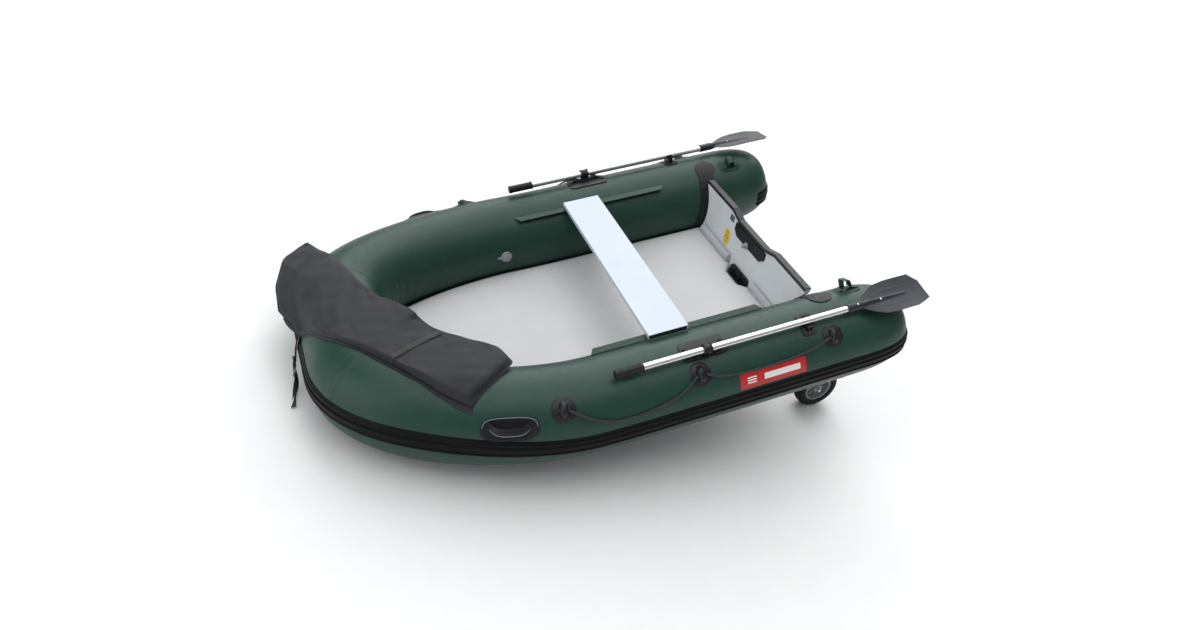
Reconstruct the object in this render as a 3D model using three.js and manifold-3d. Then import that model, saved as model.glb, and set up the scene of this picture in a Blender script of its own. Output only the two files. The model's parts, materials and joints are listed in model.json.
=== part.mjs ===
// Inflatable dinghy with a hard transom, on lowered launching wheels.
//
// Every piece is drawn in the hull's own frame, in millimetres: +X towards the bow, +Y to port,
// +Z up, with the air deck's top at z = 0 and the transom's front face crossing it at x = 0.
// The hull group is then pitched so that its two wheels and the underside of its bow stand on z = 0.
import * as THREE from "three";
import { mergeVertices } from "three/addons/utils/BufferGeometryUtils.js";
import Module from "manifold-3d";

const wasm = await Module();
wasm.setup();

// ---- driving dimensions ------------------------------------------------------------------

const GAP = 0.4;

// Side and bow tubes: one round section swept along a U in plan, raised towards the bow.
const TUBE_RADIUS = 190;
const TUBE_WALL = 3;
const TUBE_SIDES = 24;
const LINING_SIDES = 16;
const HALF_BEAM = 608;
const AXIS_HEIGHT = 84;
const STRAIGHT_AFT = -85;
const STRAIGHT_FORE = 1008;
const BOW_REACH = 1850;
const BOW_HALF_FLAT = 170;
const SHOULDER = { aftPull: 284, forePull: 301 };
const BOW_RISE = 104;
const RISE_START = 771;
const AXIS_STEPS = 60;
const CHAMBER_JOINT_STEP = 11;
const TAIL_LENGTH = 339;
const TAIL_POWER = 3.5;

const STRAKE = { inner: 193.5, web: 197, rib: 204, halfAngle: 12, tilt: 3 };

const DECK = { thickness: 60, wall: 4, aft: 2, notchHalf: 106, notchDepth: 44 };
const SKIN = { thickness: 3, seamAngle: 50, keelDepth: 62, fadeStart: 800 };

const RAKE = Math.atan(0.181);
const BOARD = { thickness: 22, halfWidth: 461, top: 247, side: -58, keel: -114 };
const NOTCH = { half: 120, depth: 24, slope: 78 };
const TRIM = { wall: 4, lip: 12, proud: 5 };
const PAD = { halfTop: 138, halfFoot: 108, top: 205, foot: 146, inner: 8, outer: 16 };
const BRACKET = { from: 114, to: 392, depth: 24, height: 36 };
const DRAIN = { halfWidth: 80, low: -44, high: 16, depth: 12, boreRadius: 14, capRadius: 24 };

const BENCH = { x: 629, width: 176, halfLength: 509, top: 275, depth: 22, sheet: 3 };
const RAIL = { aft: 195, fore: 964, inner: 472, outer: 505, top: 252, thickness: 4 };

// Oars lie along the tubes, in a plane that leans outboard, and turn about that plane's normal.
const OAR = { x: 545, angle: 70.2, height: 34.3, shaftRadius: 14, shaftWall: 1.5 };
const OAR_SPAN = { grip: 391, gripLength: 118, sleeve: -640, shaftEnd: -706, tip: -1010 };
const BLADE = { halfWidth: 80, thickness: 6, roll: 8 };
const BUTTON = { x: -685, radius: 4, bore: 4.6 };
const CLIP_X = 85;

const EYELET = { stations: [1240, 680, 80], angle: 46.5, halfX: 46, halfY: 50, eye: 15, eyeRadius: 7 };
const LINE_RADIUS = 4.5;
const HANDLE = { station: 1429, angle: 31, halfLength: 100, halfHeight: 46, halfGrip: 66, height: 32 };
const VALVE = { station: 1138, angle: 175, radius: 26 };

const LEG = { y: 372, pivotX: -78, pivotZ: 20, length: 490, lean: 18, radius: 12.5 };
const WHEEL = { y: 430, radius: 110, halfWidth: 32, rimRadius: 70, bore: 8.5, axle: 8 };

const BAG = {
  nearPort: [1490, 668],
  nearStarboard: [2052, -150],
  farStarboard: [1893, -525],
  farPort: [1285, 500],
  depth: 38,
  clearance: 13,
};

// ---- materials -----------------------------------------------------------------------------

const finish = (color, roughness, metalness = 0) =>
  new THREE.MeshStandardMaterial({ color, roughness, metalness });
const GREEN_FABRIC = finish(0x2c4a3c, 0.5);
const BLACK_RUBBER = finish(0x1b1c20, 0.6);
const DECK_FABRIC = finish(0xd2d3d2, 0.7);
const SKIN_FABRIC = finish(0x26282c, 0.6);
const TRANSOM_PAINT = finish(0xa3abb3, 0.5);
const TRIM_PLASTIC = finish(0x4a4c54, 0.55);
const BRACKET_PLASTIC = finish(0xbcc6cd, 0.5);
const BENCH_PAINT = finish(0xd6dfe9, 0.4, 0.2);
const BLACK_PLASTIC = finish(0x1e1f23, 0.5);
const BLADE_PLASTIC = finish(0x474a54, 0.5);
const ALUMINIUM = finish(0xd5d3ce, 0.35, 1);
const STEEL = finish(0xa8a9ab, 0.3, 1);
const ROPE = finish(0x1a1b1d, 0.8);
const TYRE = finish(0x141414, 0.8);
const RIM = finish(0x8d8f8e, 0.5);
const BAG_FABRIC = finish(0x303238, 0.8);
const VALVE_PLASTIC = finish(0x9aa3a6, 0.5);

// ---- solids --------------------------------------------------------------------------------

// A closed geometry with its faces pointing outwards, reduced to shared positions.
function closed(geometry) {
  geometry.deleteAttribute("normal");
  geometry.deleteAttribute("uv");
  const welded = mergeVertices(geometry, 1e-3);
  const p = welded.getAttribute("position");
  const index = welded.index.array;
  const kept = [];
  let volume = 0;
  const [a, b, c] = [new THREE.Vector3(), new THREE.Vector3(), new THREE.Vector3()];
  for (let i = 0; i < index.length; i += 3) {
    const [i0, i1, i2] = index.subarray(i, i + 3);
    if (i0 === i1 || i1 === i2 || i2 === i0) continue;
    a.fromBufferAttribute(p, i0);
    b.fromBufferAttribute(p, i1);
    c.fromBufferAttribute(p, i2);
    volume += a.dot(b.cross(c));
    kept.push(i0, i1, i2);
  }
  if (volume < 0) kept.reverse();
  welded.setIndex(kept);
  return welded;
}

function toSolid(geometry) {
  const g = closed(geometry.clone());
  return new wasm.Manifold(
    new wasm.Mesh({
      numProp: 3,
      vertProperties: new Float32Array(g.getAttribute("position").array),
      triVerts: new Uint32Array(g.index.array),
    }),
  );
}

function toGeometry(solid) {
  const mesh = solid.getMesh();
  const geometry = new THREE.BufferGeometry();
  geometry.setAttribute("position", new THREE.BufferAttribute(mesh.vertProperties, 3));
  geometry.setIndex(new THREE.BufferAttribute(mesh.triVerts, 1));
  return geometry;
}

const join = (...geometries) => toGeometry(geometries.map(toSolid).reduce((all, s) => all.add(s)));
const cut = (geometry, ...tools) =>
  toGeometry(tools.map(toSolid).reduce((left, s) => left.subtract(s), toSolid(geometry)));
const common = (a, b) => toGeometry(toSolid(a).intersect(toSolid(b)));

function mirrored(geometry) {
  return closed(geometry.clone().applyMatrix4(new THREE.Matrix4().makeScale(1, -1, 1)));
}

// ---- shapes --------------------------------------------------------------------------------

const radians = THREE.MathUtils.degToRad;
const point = (x, y) => new THREE.Vector2(x, y);
const outline = (pairs) => new THREE.Shape(pairs.map(([x, y]) => point(x, y)));

function circlePoints(radius, sides, x = 0, y = 0) {
  const turn = (i) => (2 * Math.PI * i) / sides;
  return Array.from({ length: sides }, (_, i) =>
    point(x + radius * Math.cos(turn(i)), y + radius * Math.sin(turn(i))),
  );
}

// An outline in the X-Y plane, raised from z = from to z = to.
function prism(shape, from, to) {
  const options = { depth: to - from, bevelEnabled: false, curveSegments: 6 };
  return closed(new THREE.ExtrudeGeometry(shape, options).translate(0, 0, from));
}

// An outline in the Y-Z plane, extruded along X.
function alongX(shape, from, to) {
  const turn = new THREE.Matrix4().makeBasis(
    new THREE.Vector3(0, 1, 0),
    new THREE.Vector3(0, 0, 1),
    new THREE.Vector3(1, 0, 0),
  );
  return prism(shape, from, to).applyMatrix4(turn);
}

// An outline in the X-Z plane, extruded along Y.
function alongY(shape, from, to) {
  const turn = new THREE.Matrix4().makeBasis(
    new THREE.Vector3(1, 0, 0),
    new THREE.Vector3(0, 0, 1),
    new THREE.Vector3(0, -1, 0),
  );
  return prism(shape, -to, -from).applyMatrix4(turn);
}

// A profile of [radius, height] pairs turned about Z.
function turned(pairs, segments = 24) {
  const lathe = new THREE.LatheGeometry(pairs.map(([r, h]) => point(r, h)), segments);
  return closed(lathe.rotateX(Math.PI / 2));
}

const rod = (radius, from, to, segments = 16) =>
  turned([[0, from], [radius, from], [radius, to], [0, to]], segments);
const pipe = (outer, inner, from, to, segments = 20) =>
  turned([[inner, from], [outer, from], [outer, to], [inner, to], [inner, from]], segments);

// A rounded rectangle or an ellipse, as points.
function roundedBox(halfX, halfY, corner, steps = 4) {
  const corners = [[1, 1, 0], [-1, 1, 90], [-1, -1, 180], [1, -1, 270]];
  const points = corners.flatMap(([sx, sy, start]) =>
    Array.from({ length: steps + 1 }, (_, i) => {
      const a = radians(start + (90 * i) / steps);
      return [
        sx * (halfX - corner) + corner * Math.cos(a),
        sy * (halfY - corner) + corner * Math.sin(a),
      ];
    }),
  );
  return outline(points);
}

const ellipse = (halfX, halfY, sides = 16) =>
  new THREE.Shape(circlePoints(1, sides).map((p) => point(p.x * halfX, p.y * halfY)));

// A slab between an upper and a lower surface, each a function of (u, v) in 0..1.
function slab(columns, rows, upper, lower) {
  const positions = [];
  const index = [];
  const at = (side, i, j) => side * (columns + 1) * (rows + 1) + i * (rows + 1) + j;
  for (const surface of [upper, lower]) {
    for (let i = 0; i <= columns; i += 1) {
      for (let j = 0; j <= rows; j += 1) positions.push(...surface(i / columns, j / rows));
    }
  }
  const face = (a, b, c, d) => index.push(a, b, c, a, c, d);
  for (let i = 0; i < columns; i += 1) {
    for (let j = 0; j < rows; j += 1) {
      face(at(0, i, j), at(0, i + 1, j), at(0, i + 1, j + 1), at(0, i, j + 1));
      face(at(1, i, j), at(1, i, j + 1), at(1, i + 1, j + 1), at(1, i + 1, j));
    }
    face(at(0, i, 0), at(1, i, 0), at(1, i + 1, 0), at(0, i + 1, 0));
    face(at(0, i, rows), at(0, i + 1, rows), at(1, i + 1, rows), at(1, i, rows));
  }
  for (let j = 0; j < rows; j += 1) {
    face(at(0, 0, j), at(0, 0, j + 1), at(1, 0, j + 1), at(1, 0, j));
    face(at(0, columns, j), at(1, columns, j), at(1, columns, j + 1), at(0, columns, j + 1));
  }
  const geometry = new THREE.BufferGeometry();
  geometry.setAttribute("position", new THREE.Float32BufferAttribute(positions, 3));
  geometry.setIndex(index);
  return closed(geometry);
}

// ---- the tubes' axis -----------------------------------------------------------------------

const plan = new THREE.CurvePath();
plan.add(new THREE.LineCurve(point(STRAIGHT_AFT, HALF_BEAM), point(STRAIGHT_FORE, HALF_BEAM)));
plan.add(
  new THREE.CubicBezierCurve(
    point(STRAIGHT_FORE, HALF_BEAM),
    point(STRAIGHT_FORE + SHOULDER.aftPull, HALF_BEAM),
    point(BOW_REACH, BOW_HALF_FLAT + SHOULDER.forePull),
    point(BOW_REACH, BOW_HALF_FLAT),
  ),
);
plan.add(new THREE.LineCurve(point(BOW_REACH, BOW_HALF_FLAT), point(BOW_REACH, 0)));
const HALF_LENGTH = plan.getLength();
const AXIS_LENGTH = 2 * HALF_LENGTH;
const STEP = AXIS_LENGTH / AXIS_STEPS;

const rise = (x) => BOW_RISE * (Math.max(x - RISE_START, 0) / (BOW_REACH - RISE_START)) ** 2;

// The axis from the port tail round the bow to the starboard tail, by its length in plan.
function axisPoint(station) {
  const port = station <= HALF_LENGTH;
  const length = port ? station : AXIS_LENGTH - station;
  const p = plan.getPoint(Math.max(length, 0) / HALF_LENGTH);
  return new THREE.Vector3(p.x + Math.min(length, 0), port ? p.y : -p.y, AXIS_HEIGHT + rise(p.x));
}

// Directions at a station: along the tube, outwards and upwards across it.
function axisFrame(station) {
  const along = axisPoint(station + 1).sub(axisPoint(station - 1)).normalize();
  const out = new THREE.Vector3(0, 0, 1).cross(along).normalize();
  return { origin: axisPoint(station), along, out, up: along.clone().cross(out) };
}

// A stretch of the axis. A section extruded along it has its X axis down and its Y axis outwards.
class TubeAxis extends THREE.Curve {
  constructor(from, to) {
    super();
    this.from = from;
    this.to = to;
  }

  station(t) {
    return THREE.MathUtils.lerp(this.from, this.to, t);
  }

  getPoint(t, target = new THREE.Vector3()) {
    return target.copy(axisPoint(this.station(t)));
  }

  computeFrenetFrames(segments) {
    const frames = Array.from({ length: segments + 1 }, (_, i) =>
      axisFrame(this.station(this.getUtoTmapping(i / segments))),
    );
    return {
      tangents: frames.map(({ along }) => along),
      normals: frames.map(({ up }) => up.clone().negate()),
      binormals: frames.map(({ out }) => out),
    };
  }
}

// A point at an angle above the outward direction and a height over the tube's surface.
function onTube(station, degrees, height) {
  const { origin, out, up } = axisFrame(station);
  const a = radians(degrees);
  const reach = TUBE_RADIUS + height;
  return origin.addScaledVector(out, reach * Math.cos(a)).addScaledVector(up, reach * Math.sin(a));
}

// A frame on the tube's surface: X along the tube, Z straight out of the fabric, Y outboard.
function surfaceFrame(station, degrees) {
  const { along } = axisFrame(station);
  const foot = onTube(station, degrees, 0);
  const normal = onTube(station, degrees, 1).sub(foot).normalize();
  const side = normal.clone().cross(along);
  return new THREE.Matrix4().makeBasis(along, side, normal).setPosition(foot);
}

// A band of the tube's surface between two stations and two angles.
function band(fromStation, toStation, lowAngle, highAngle, inner, outer, steps, arcs = 6) {
  const arc = (radius, reversed) =>
    Array.from({ length: arcs + 1 }, (_, i) => {
      const k = (reversed ? arcs - i : i) / arcs;
      const a = radians(THREE.MathUtils.lerp(lowAngle, highAngle, k));
      return [-radius * Math.sin(a), radius * Math.cos(a)];
    });
  const section = outline([...arc(inner, false), ...arc(outer, true)]);
  const extrudePath = new TubeAxis(fromStation, toStation);
  return closed(new THREE.ExtrudeGeometry(section, { extrudePath, steps, bevelEnabled: false }));
}

// A patch glued to the tube: an outline in the surface frame, cut from a band of the surface.
function patch(station, degrees, shape, halfX, halfY, thickness = 4) {
  const reach = radians(1) * TUBE_RADIUS;
  const spread = halfY / reach + 2;
  const inner = TUBE_RADIUS + 1;
  const sheet = band(
    station - halfX - 4,
    station + halfX + 4,
    degrees - spread,
    degrees + spread,
    inner,
    inner + thickness,
    4,
  );
  const frame = surfaceFrame(station, degrees);
  return common(sheet, prism(shape, -40, 40).applyMatrix4(frame));
}

// ---- the assembly --------------------------------------------------------------------------

const hull = new THREE.Group();

function add(name, geometry, material) {
  const mesh = new THREE.Mesh(geometry, material);
  mesh.name = name;
  hull.add(mesh);
}

function pair(name, geometry, material) {
  add(`port_${name}`, geometry, material);
  add(`starboard_${name}`, mirrored(geometry), material);
}

// Side chamber: a straight tube with a blunt rounded tail, open where the bow chamber joins it.
function sideTube() {
  const joint = STRAIGHT_AFT + CHAMBER_JOINT_STEP * STEP - GAP / 2;
  const tailSteps = 8;
  const skin = (radius, length) =>
    Array.from({ length: tailSteps + 1 }, (_, i) => {
      const a = (i / tailSteps) * (Math.PI / 2);
      const s = i === tailSteps ? 0 : Math.cos(a) ** (2 / TAIL_POWER);
      return [radius * Math.sin(a) ** (2 / TAIL_POWER), STRAIGHT_AFT - length * s];
    });
  const outer = [...skin(TUBE_RADIUS, TAIL_LENGTH), [TUBE_RADIUS, joint]];
  const inner = [...skin(TUBE_RADIUS - TUBE_WALL, TAIL_LENGTH - TUBE_WALL), [TUBE_RADIUS - TUBE_WALL, joint]];
  const tube = turned([...outer, ...inner.reverse()], TUBE_SIDES);
  return tube.rotateY(Math.PI / 2).translate(0, HALF_BEAM, AXIS_HEIGHT);
}
pair("tube", sideTube(), GREEN_FABRIC);

function bowTube() {
  const section = new THREE.Shape(circlePoints(TUBE_RADIUS, TUBE_SIDES));
  section.holes.push(new THREE.Path(circlePoints(TUBE_RADIUS - TUBE_WALL, LINING_SIDES)));
  const from = CHAMBER_JOINT_STEP * STEP;
  const extrudePath = new TubeAxis(from, AXIS_LENGTH - from);
  const steps = AXIS_STEPS - 2 * CHAMBER_JOINT_STEP;
  return closed(new THREE.ExtrudeGeometry(section, { extrudePath, steps, bevelEnabled: false }));
}
add("bow_tube", bowTube(), GREEN_FABRIC);

// Baffle: the fabric wall that keeps one chamber's air out of the next.
const BAFFLE = { radius: 180, thickness: 3, inset: 14 };
const baffleX = STRAIGHT_AFT + CHAMBER_JOINT_STEP * STEP + BAFFLE.inset;
pair(
  "baffle",
  rod(BAFFLE.radius, 0, BAFFLE.thickness).rotateY(Math.PI / 2).translate(baffleX, HALF_BEAM, AXIS_HEIGHT),
  SKIN_FABRIC,
);

// Rubbing strake: a flat web with three ribs, round the outside of the tubes.
function strake() {
  const ribs = [-STRAKE.halfAngle + 2, 0, STRAKE.halfAngle - 2];
  const polar = (radius, degrees) => {
    const a = radians(degrees + STRAKE.tilt);
    return [-radius * Math.sin(a), radius * Math.cos(a)];
  };
  const crest = (rib) => [polar(STRAKE.web, rib - 2.4), polar(STRAKE.rib, rib), polar(STRAKE.web, rib + 2.4)];
  const back = [STRAKE.halfAngle, 0, -STRAKE.halfAngle].map((a) => polar(STRAKE.inner, a));
  const section = outline([...ribs.flatMap(crest), ...back]);
  const extrudePath = new TubeAxis(0, AXIS_LENGTH);
  const options = { extrudePath, steps: AXIS_STEPS, bevelEnabled: false };
  return closed(new THREE.ExtrudeGeometry(section, options));
}
add("rubbing_strake", strake(), BLACK_RUBBER);

// The outline that a sheet of fabric follows inside the tubes, as [x, half width].
function insideEdge(station, offset) {
  const { origin, out } = axisFrame(station);
  return [origin.x - offset * out.x, origin.y - offset * out.y];
}

// Air deck: an inflated floor, flat aft and lifted with the tubes towards the bow.
function deckBody(inset) {
  const offset = Math.sqrt(TUBE_RADIUS ** 2 - AXIS_HEIGHT ** 2) + 6 + inset;
  const from = DECK.aft - STRAIGHT_AFT + inset;
  const to = HALF_LENGTH - BOW_HALF_FLAT;
  const surface = (drop) => (u, v) => {
    const [x, half] = insideEdge(THREE.MathUtils.lerp(from, to, u), offset);
    return [x + (1 - u) * drop * Math.tan(RAKE), half * (1 - 2 * v), rise(x) - drop];
  };
  return slab(26, 1, surface(inset), surface(DECK.thickness - inset));
}

function airDeck() {
  const half = DECK.notchHalf;
  const notch = (grow) => {
    const deep = DECK.aft + DECK.notchDepth + grow;
    const corners = [
      [-10, -half - grow],
      [DECK.aft + 14, -half - grow],
      [deep, -half + 50],
      [deep, half - 50],
      [DECK.aft + 14, half + grow],
      [-10, half + grow],
    ];
    return prism(outline(corners), -100, 50);
  };
  const filler = rod(9, -12, 12).translate(160, 372, 0);
  const air = cut(deckBody(DECK.wall), notch(DECK.wall));
  return cut(cut(deckBody(0), notch(0)), air, filler);
}
add("air_deck", airDeck(), DECK_FABRIC);

// Bottom skin: a shallow V of fabric from tube to tube, fading out under the bow.
function bottomSkin() {
  const seam = radians(SKIN.seamAngle);
  const reach = TUBE_RADIUS + SKIN.thickness + 4;
  const offset = reach * Math.cos(seam);
  const last = HALF_LENGTH - BOW_HALF_FLAT;
  const surface = (drop) => (u, v) => {
    const station = THREE.MathUtils.lerp(5, last, u);
    const [x, half] = insideEdge(station, offset);
    const across = 2 * v - 1;
    const faded = Math.max(x - SKIN.fadeStart, 0) / (BOW_REACH - offset - SKIN.fadeStart);
    const fade = Math.max(1 - faded ** 2, 0);
    const seamHeight = AXIS_HEIGHT + rise(x) - reach * Math.sin(seam);
    const depth = SKIN.keelDepth * fade * (1 - Math.abs(across));
    return [x, -half * across, seamHeight - depth - drop];
  };
  return slab(24, 2, surface(0), surface(SKIN.thickness));
}
add("bottom_skin", bottomSkin(), SKIN_FABRIC);

// ---- transom -------------------------------------------------------------------------------

// The transom leans aft: its pieces are drawn upright, front face at x = 0, and tipped together.
const leaned = (geometry) => geometry.rotateY(-RAKE);
const upright = (z) => z / Math.cos(RAKE);

// The top edge from port to starboard, lowered between the wings for the motor.
function topEdge(offset) {
  const wing = BOARD.top + offset;
  const low = wing - NOTCH.depth;
  const slopeEnd = NOTCH.half + NOTCH.slope;
  const port = [[BOARD.halfWidth, wing], [slopeEnd, wing], [NOTCH.half, low]];
  return [...port, ...port.map(([y, z]) => [-y, z]).reverse()];
}

// The board's side follows the tube at a small distance.
function boardSide(clearance) {
  const reach = TUBE_RADIUS + clearance;
  const top = Math.acos((HALF_BEAM - BOARD.halfWidth) / reach);
  const foot = -Math.asin((AXIS_HEIGHT - BOARD.side) / reach);
  return Array.from({ length: 9 }, (_, i) => {
    const a = THREE.MathUtils.lerp(foot, top, i / 8);
    return [HALF_BEAM - reach * Math.cos(a), upright(AXIS_HEIGHT + reach * Math.sin(a))];
  });
}

function boardOutline(grow) {
  const port = boardSide(10);
  const starboard = port.map(([y, z]) => [-y, z]).reverse();
  return outline([...port, ...topEdge(grow), ...starboard, [0, upright(BOARD.keel)]]);
}
const boardBlank = alongX(boardOutline(0), -BOARD.thickness, 0);
const drainBore = rod(DRAIN.boreRadius, -80, 40).rotateY(Math.PI / 2).translate(0, 0, -14);
add("transom_board", leaned(cut(boardBlank, drainBore)), TRANSOM_PAINT);

function transomTrim() {
  const strip = outline([...topEdge(TRIM.proud), ...topEdge(-TRIM.lip).reverse()]);
  const cap = alongX(strip, -BOARD.thickness - TRIM.wall, TRIM.wall);
  const grown = alongX(boardOutline(GAP), -BOARD.thickness - GAP, GAP);
  return cut(cap, grown);
}
add("transom_trim", leaned(transomTrim()), TRIM_PLASTIC);

const padOutline = outline([
  [PAD.halfTop, upright(PAD.top)],
  [PAD.halfTop, upright(PAD.foot + 24)],
  [PAD.halfFoot, upright(PAD.foot)],
  [-PAD.halfFoot, upright(PAD.foot)],
  [-PAD.halfTop, upright(PAD.foot + 24)],
  [-PAD.halfTop, upright(PAD.top)],
].reverse());
add("motor_pad_inner", leaned(alongX(padOutline, GAP, GAP + PAD.inner)), BLACK_RUBBER);
const outerFace = -BOARD.thickness - GAP;
add("motor_pad_outer", leaned(alongX(padOutline, outerFace - PAD.outer, outerFace)), TRIM_PLASTIC);

// Seal: a rubber strip from board to tube, with a round patch over its top end.
function transomSeal() {
  const inner = TUBE_RADIUS + 1;
  const strip = band(2, 165, 108, 232, inner, inner + 3, 1, 12);
  const slant = leaned(alongX(outline([[300, -130], [700, -130], [700, 330], [300, 330]]), -50, 40));
  const cover = patch(28, 110, ellipse(52, 50), 52, 50, 3);
  return join(common(strip, slant), cover);
}
pair("transom_seal", transomSeal(), BLACK_RUBBER);

// Floor bracket: a bar on the air deck that holds the transom's foot.
const bracketOutline = outline([
  [0.6, GAP],
  [BRACKET.depth, GAP],
  [BRACKET.depth, BRACKET.height - 10],
  [BRACKET.depth - 8, BRACKET.height],
  [0.6, BRACKET.height],
]);
const bracketBlank = alongY(bracketOutline, BRACKET.from, BRACKET.to);
pair("floor_bracket", bracketBlank, BRACKET_PLASTIC);

// Drain: a moulded socket through the transom's foot, with a hinged cap on the inside.
const DRAIN_Z = -14;
function drainSocket() {
  const plate = roundedBox(DRAIN.halfWidth, (DRAIN.high - DRAIN.low) / 2, 20);
  const flange = alongX(plate, GAP, DRAIN.depth).translate(0, 0, (DRAIN.high + DRAIN.low) / 2);
  const spout = rod(DRAIN.boreRadius - 1, -44, 4).rotateY(Math.PI / 2).translate(0, 0, DRAIN_Z);
  const bore = rod(DRAIN.boreRadius - 4, -60, 30).rotateY(Math.PI / 2).translate(0, 0, DRAIN_Z);
  return cut(join(flange, spout), bore);
}
add("drain_socket", leaned(drainSocket()), BLACK_PLASTIC);

function drainCap() {
  const plug = DRAIN.boreRadius - 5;
  const lid = turned([
    [0, -10],
    [plug, -10],
    [plug, 0.6],
    [DRAIN.capRadius, 0.6],
    [DRAIN.capRadius, 5],
    [14, 8],
    [0, 8],
  ]);
  return lid.rotateY(Math.PI / 2).translate(DRAIN.depth, 0, DRAIN_Z);
}
add("drain_cap", leaned(drainCap()), BLACK_RUBBER);

// ---- seat ----------------------------------------------------------------------------------

const railPlan = outline([
  [RAIL.aft, RAIL.outer],
  [RAIL.aft + 18, RAIL.inner],
  [RAIL.fore - 18, RAIL.inner],
  [RAIL.fore, RAIL.outer],
]);
pair("seat_rail", prism(railPlan, RAIL.top - RAIL.thickness, RAIL.top), GREEN_FABRIC);

function bench() {
  const half = BENCH.width / 2;
  const foot = BENCH.top - BENCH.depth;
  const under = BENCH.top - BENCH.sheet;
  const section = outline([
    [BENCH.x - half, foot],
    [BENCH.x - half + BENCH.sheet, foot],
    [BENCH.x - half + BENCH.sheet, under],
    [BENCH.x + half - BENCH.sheet, under],
    [BENCH.x + half - BENCH.sheet, foot],
    [BENCH.x + half, foot],
    [BENCH.x + half, BENCH.top],
    [BENCH.x - half, BENCH.top],
  ]);
  return alongY(section, -BENCH.halfLength, BENCH.halfLength);
}
add("bench_seat", bench(), BENCH_PAINT);

// ---- oars ----------------------------------------------------------------------------------

const oarFrame = surfaceFrame(OAR.x - STRAIGHT_AFT, OAR.angle);
const onOar = (geometry) =>
  geometry.rotateY(Math.PI / 2).translate(0, 0, OAR.height).applyMatrix4(oarFrame);
const OARLOCK_ANGLE = 78;
const SLEEVE_RADIUS = 17.5;
const BORE_RADIUS = OAR.shaftRadius + GAP;

function oarlockBase() {
  const foot = patch(OAR.x - STRAIGHT_AFT, OARLOCK_ANGLE, roundedBox(96, 46, 16), 96, 46);
  const ramp = outline([[-84, 3], [84, 3], [84, 6], [30, 13.5], [-30, 13.5], [-84, 6]]);
  const arch = alongY(ramp, -18, 18).applyMatrix4(oarFrame);
  const socket = rod(9, 5, 40).applyMatrix4(oarFrame);
  return cut(join(foot, arch), socket);
}
pair("oarlock_base", oarlockBase(), BLACK_PLASTIC);

function oarCollar() {
  const ring = pipe(20, BORE_RADIUS, -17, 17).rotateY(Math.PI / 2).translate(0, 0, OAR.height);
  const pin = rod(8, 6, OAR.height - OAR.shaftRadius - 1);
  return join(ring, pin).applyMatrix4(oarFrame);
}
pair("oar_collar", oarCollar(), BLACK_PLASTIC);

const buttonBore = rod(BUTTON.bore, 0, 40, 12).translate(BUTTON.x, 0, OAR.height).applyMatrix4(oarFrame);
const shaftInner = OAR.shaftRadius - OAR.shaftWall;
const shaft = onOar(pipe(OAR.shaftRadius, shaftInner, OAR_SPAN.shaftEnd, OAR_SPAN.grip - 5));
pair("oar_shaft", cut(shaft, buttonBore), ALUMINIUM);

const gripStart = OAR_SPAN.grip - OAR_SPAN.gripLength;
const grip = turned([
  [BORE_RADIUS, gripStart],
  [SLEEVE_RADIUS, gripStart],
  [SLEEVE_RADIUS, OAR_SPAN.grip - 6],
  [SLEEVE_RADIUS - 4, OAR_SPAN.grip],
  [0, OAR_SPAN.grip],
  [0, OAR_SPAN.grip - 4.5],
  [BORE_RADIUS, OAR_SPAN.grip - 4.5],
  [BORE_RADIUS, gripStart],
]);
pair("oar_grip", onOar(grip), BLACK_RUBBER);

// Blade: a flat plate with a cut-off tip, on a sleeve that the shaft pushes into.
function oarBlade() {
  const tip = OAR_SPAN.tip;
  const half = BLADE.halfWidth;
  const plate = prism(
    outline([
      [OAR_SPAN.shaftEnd + 10, -16],
      [OAR_SPAN.shaftEnd + 10, 16],
      [-740, 44],
      [-800, half - 4],
      [-850, half],
      [tip + 70, half],
      [tip, half - 26],
      [tip, -half + 42],
      [tip + 34, -half],
      [-850, -half],
      [-800, -half + 4],
      [-740, -44],
    ]),
    -BLADE.thickness / 2,
    BLADE.thickness / 2,
  ).rotateX(radians(BLADE.roll));
  const spineStart = OAR_SPAN.shaftEnd + 2;
  const spine = turned([[0, spineStart], [15, spineStart], [5, tip + 90], [0, tip + 90]], 12);
  const sleeve = rod(SLEEVE_RADIUS, OAR_SPAN.sleeve, OAR_SPAN.shaftEnd - 6);
  const bore = rod(BORE_RADIUS, OAR_SPAN.shaftEnd - 1, OAR_SPAN.sleeve + 1);
  const lengthways = (g) => g.rotateY(Math.PI / 2);
  const solid = cut(join(lengthways(sleeve), lengthways(spine), plate), lengthways(bore));
  return cut(solid.translate(0, 0, OAR.height).applyMatrix4(oarFrame), buttonBore);
}
pair("oar_blade", oarBlade(), BLADE_PLASTIC);

const buttonTop = OAR.height + SLEEVE_RADIUS + 2.5;
const button = rod(BUTTON.radius, OAR.height + 8, buttonTop, 12).translate(BUTTON.x, 0, 0);
pair("oar_button", button.applyMatrix4(oarFrame), STEEL);

// Oar clip: an open rest that the shaft swings into from outboard.
function oarClip() {
  const station = CLIP_X - STRAIGHT_AFT;
  const frame = surfaceFrame(station, OAR.angle);
  const foot = patch(station, OAR.angle, roundedBox(32, 50, 10), 32, 50, 4);
  const under = OAR.height - OAR.shaftRadius - 1.2;
  const over = OAR.height + 6;
  const wall = OAR.shaftRadius + 1.4;
  const hook = outline([
    [-wall - 7, 2],
    [28, 2],
    [28, under],
    [-wall, under],
    [-wall, over],
    [-wall - 7, over],
  ]);
  return join(foot, alongX(hook, -12, 12).applyMatrix4(frame));
}
pair("oar_clip", oarClip(), BLACK_PLASTIC);

// ---- grab lines and handles ----------------------------------------------------------------

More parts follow.
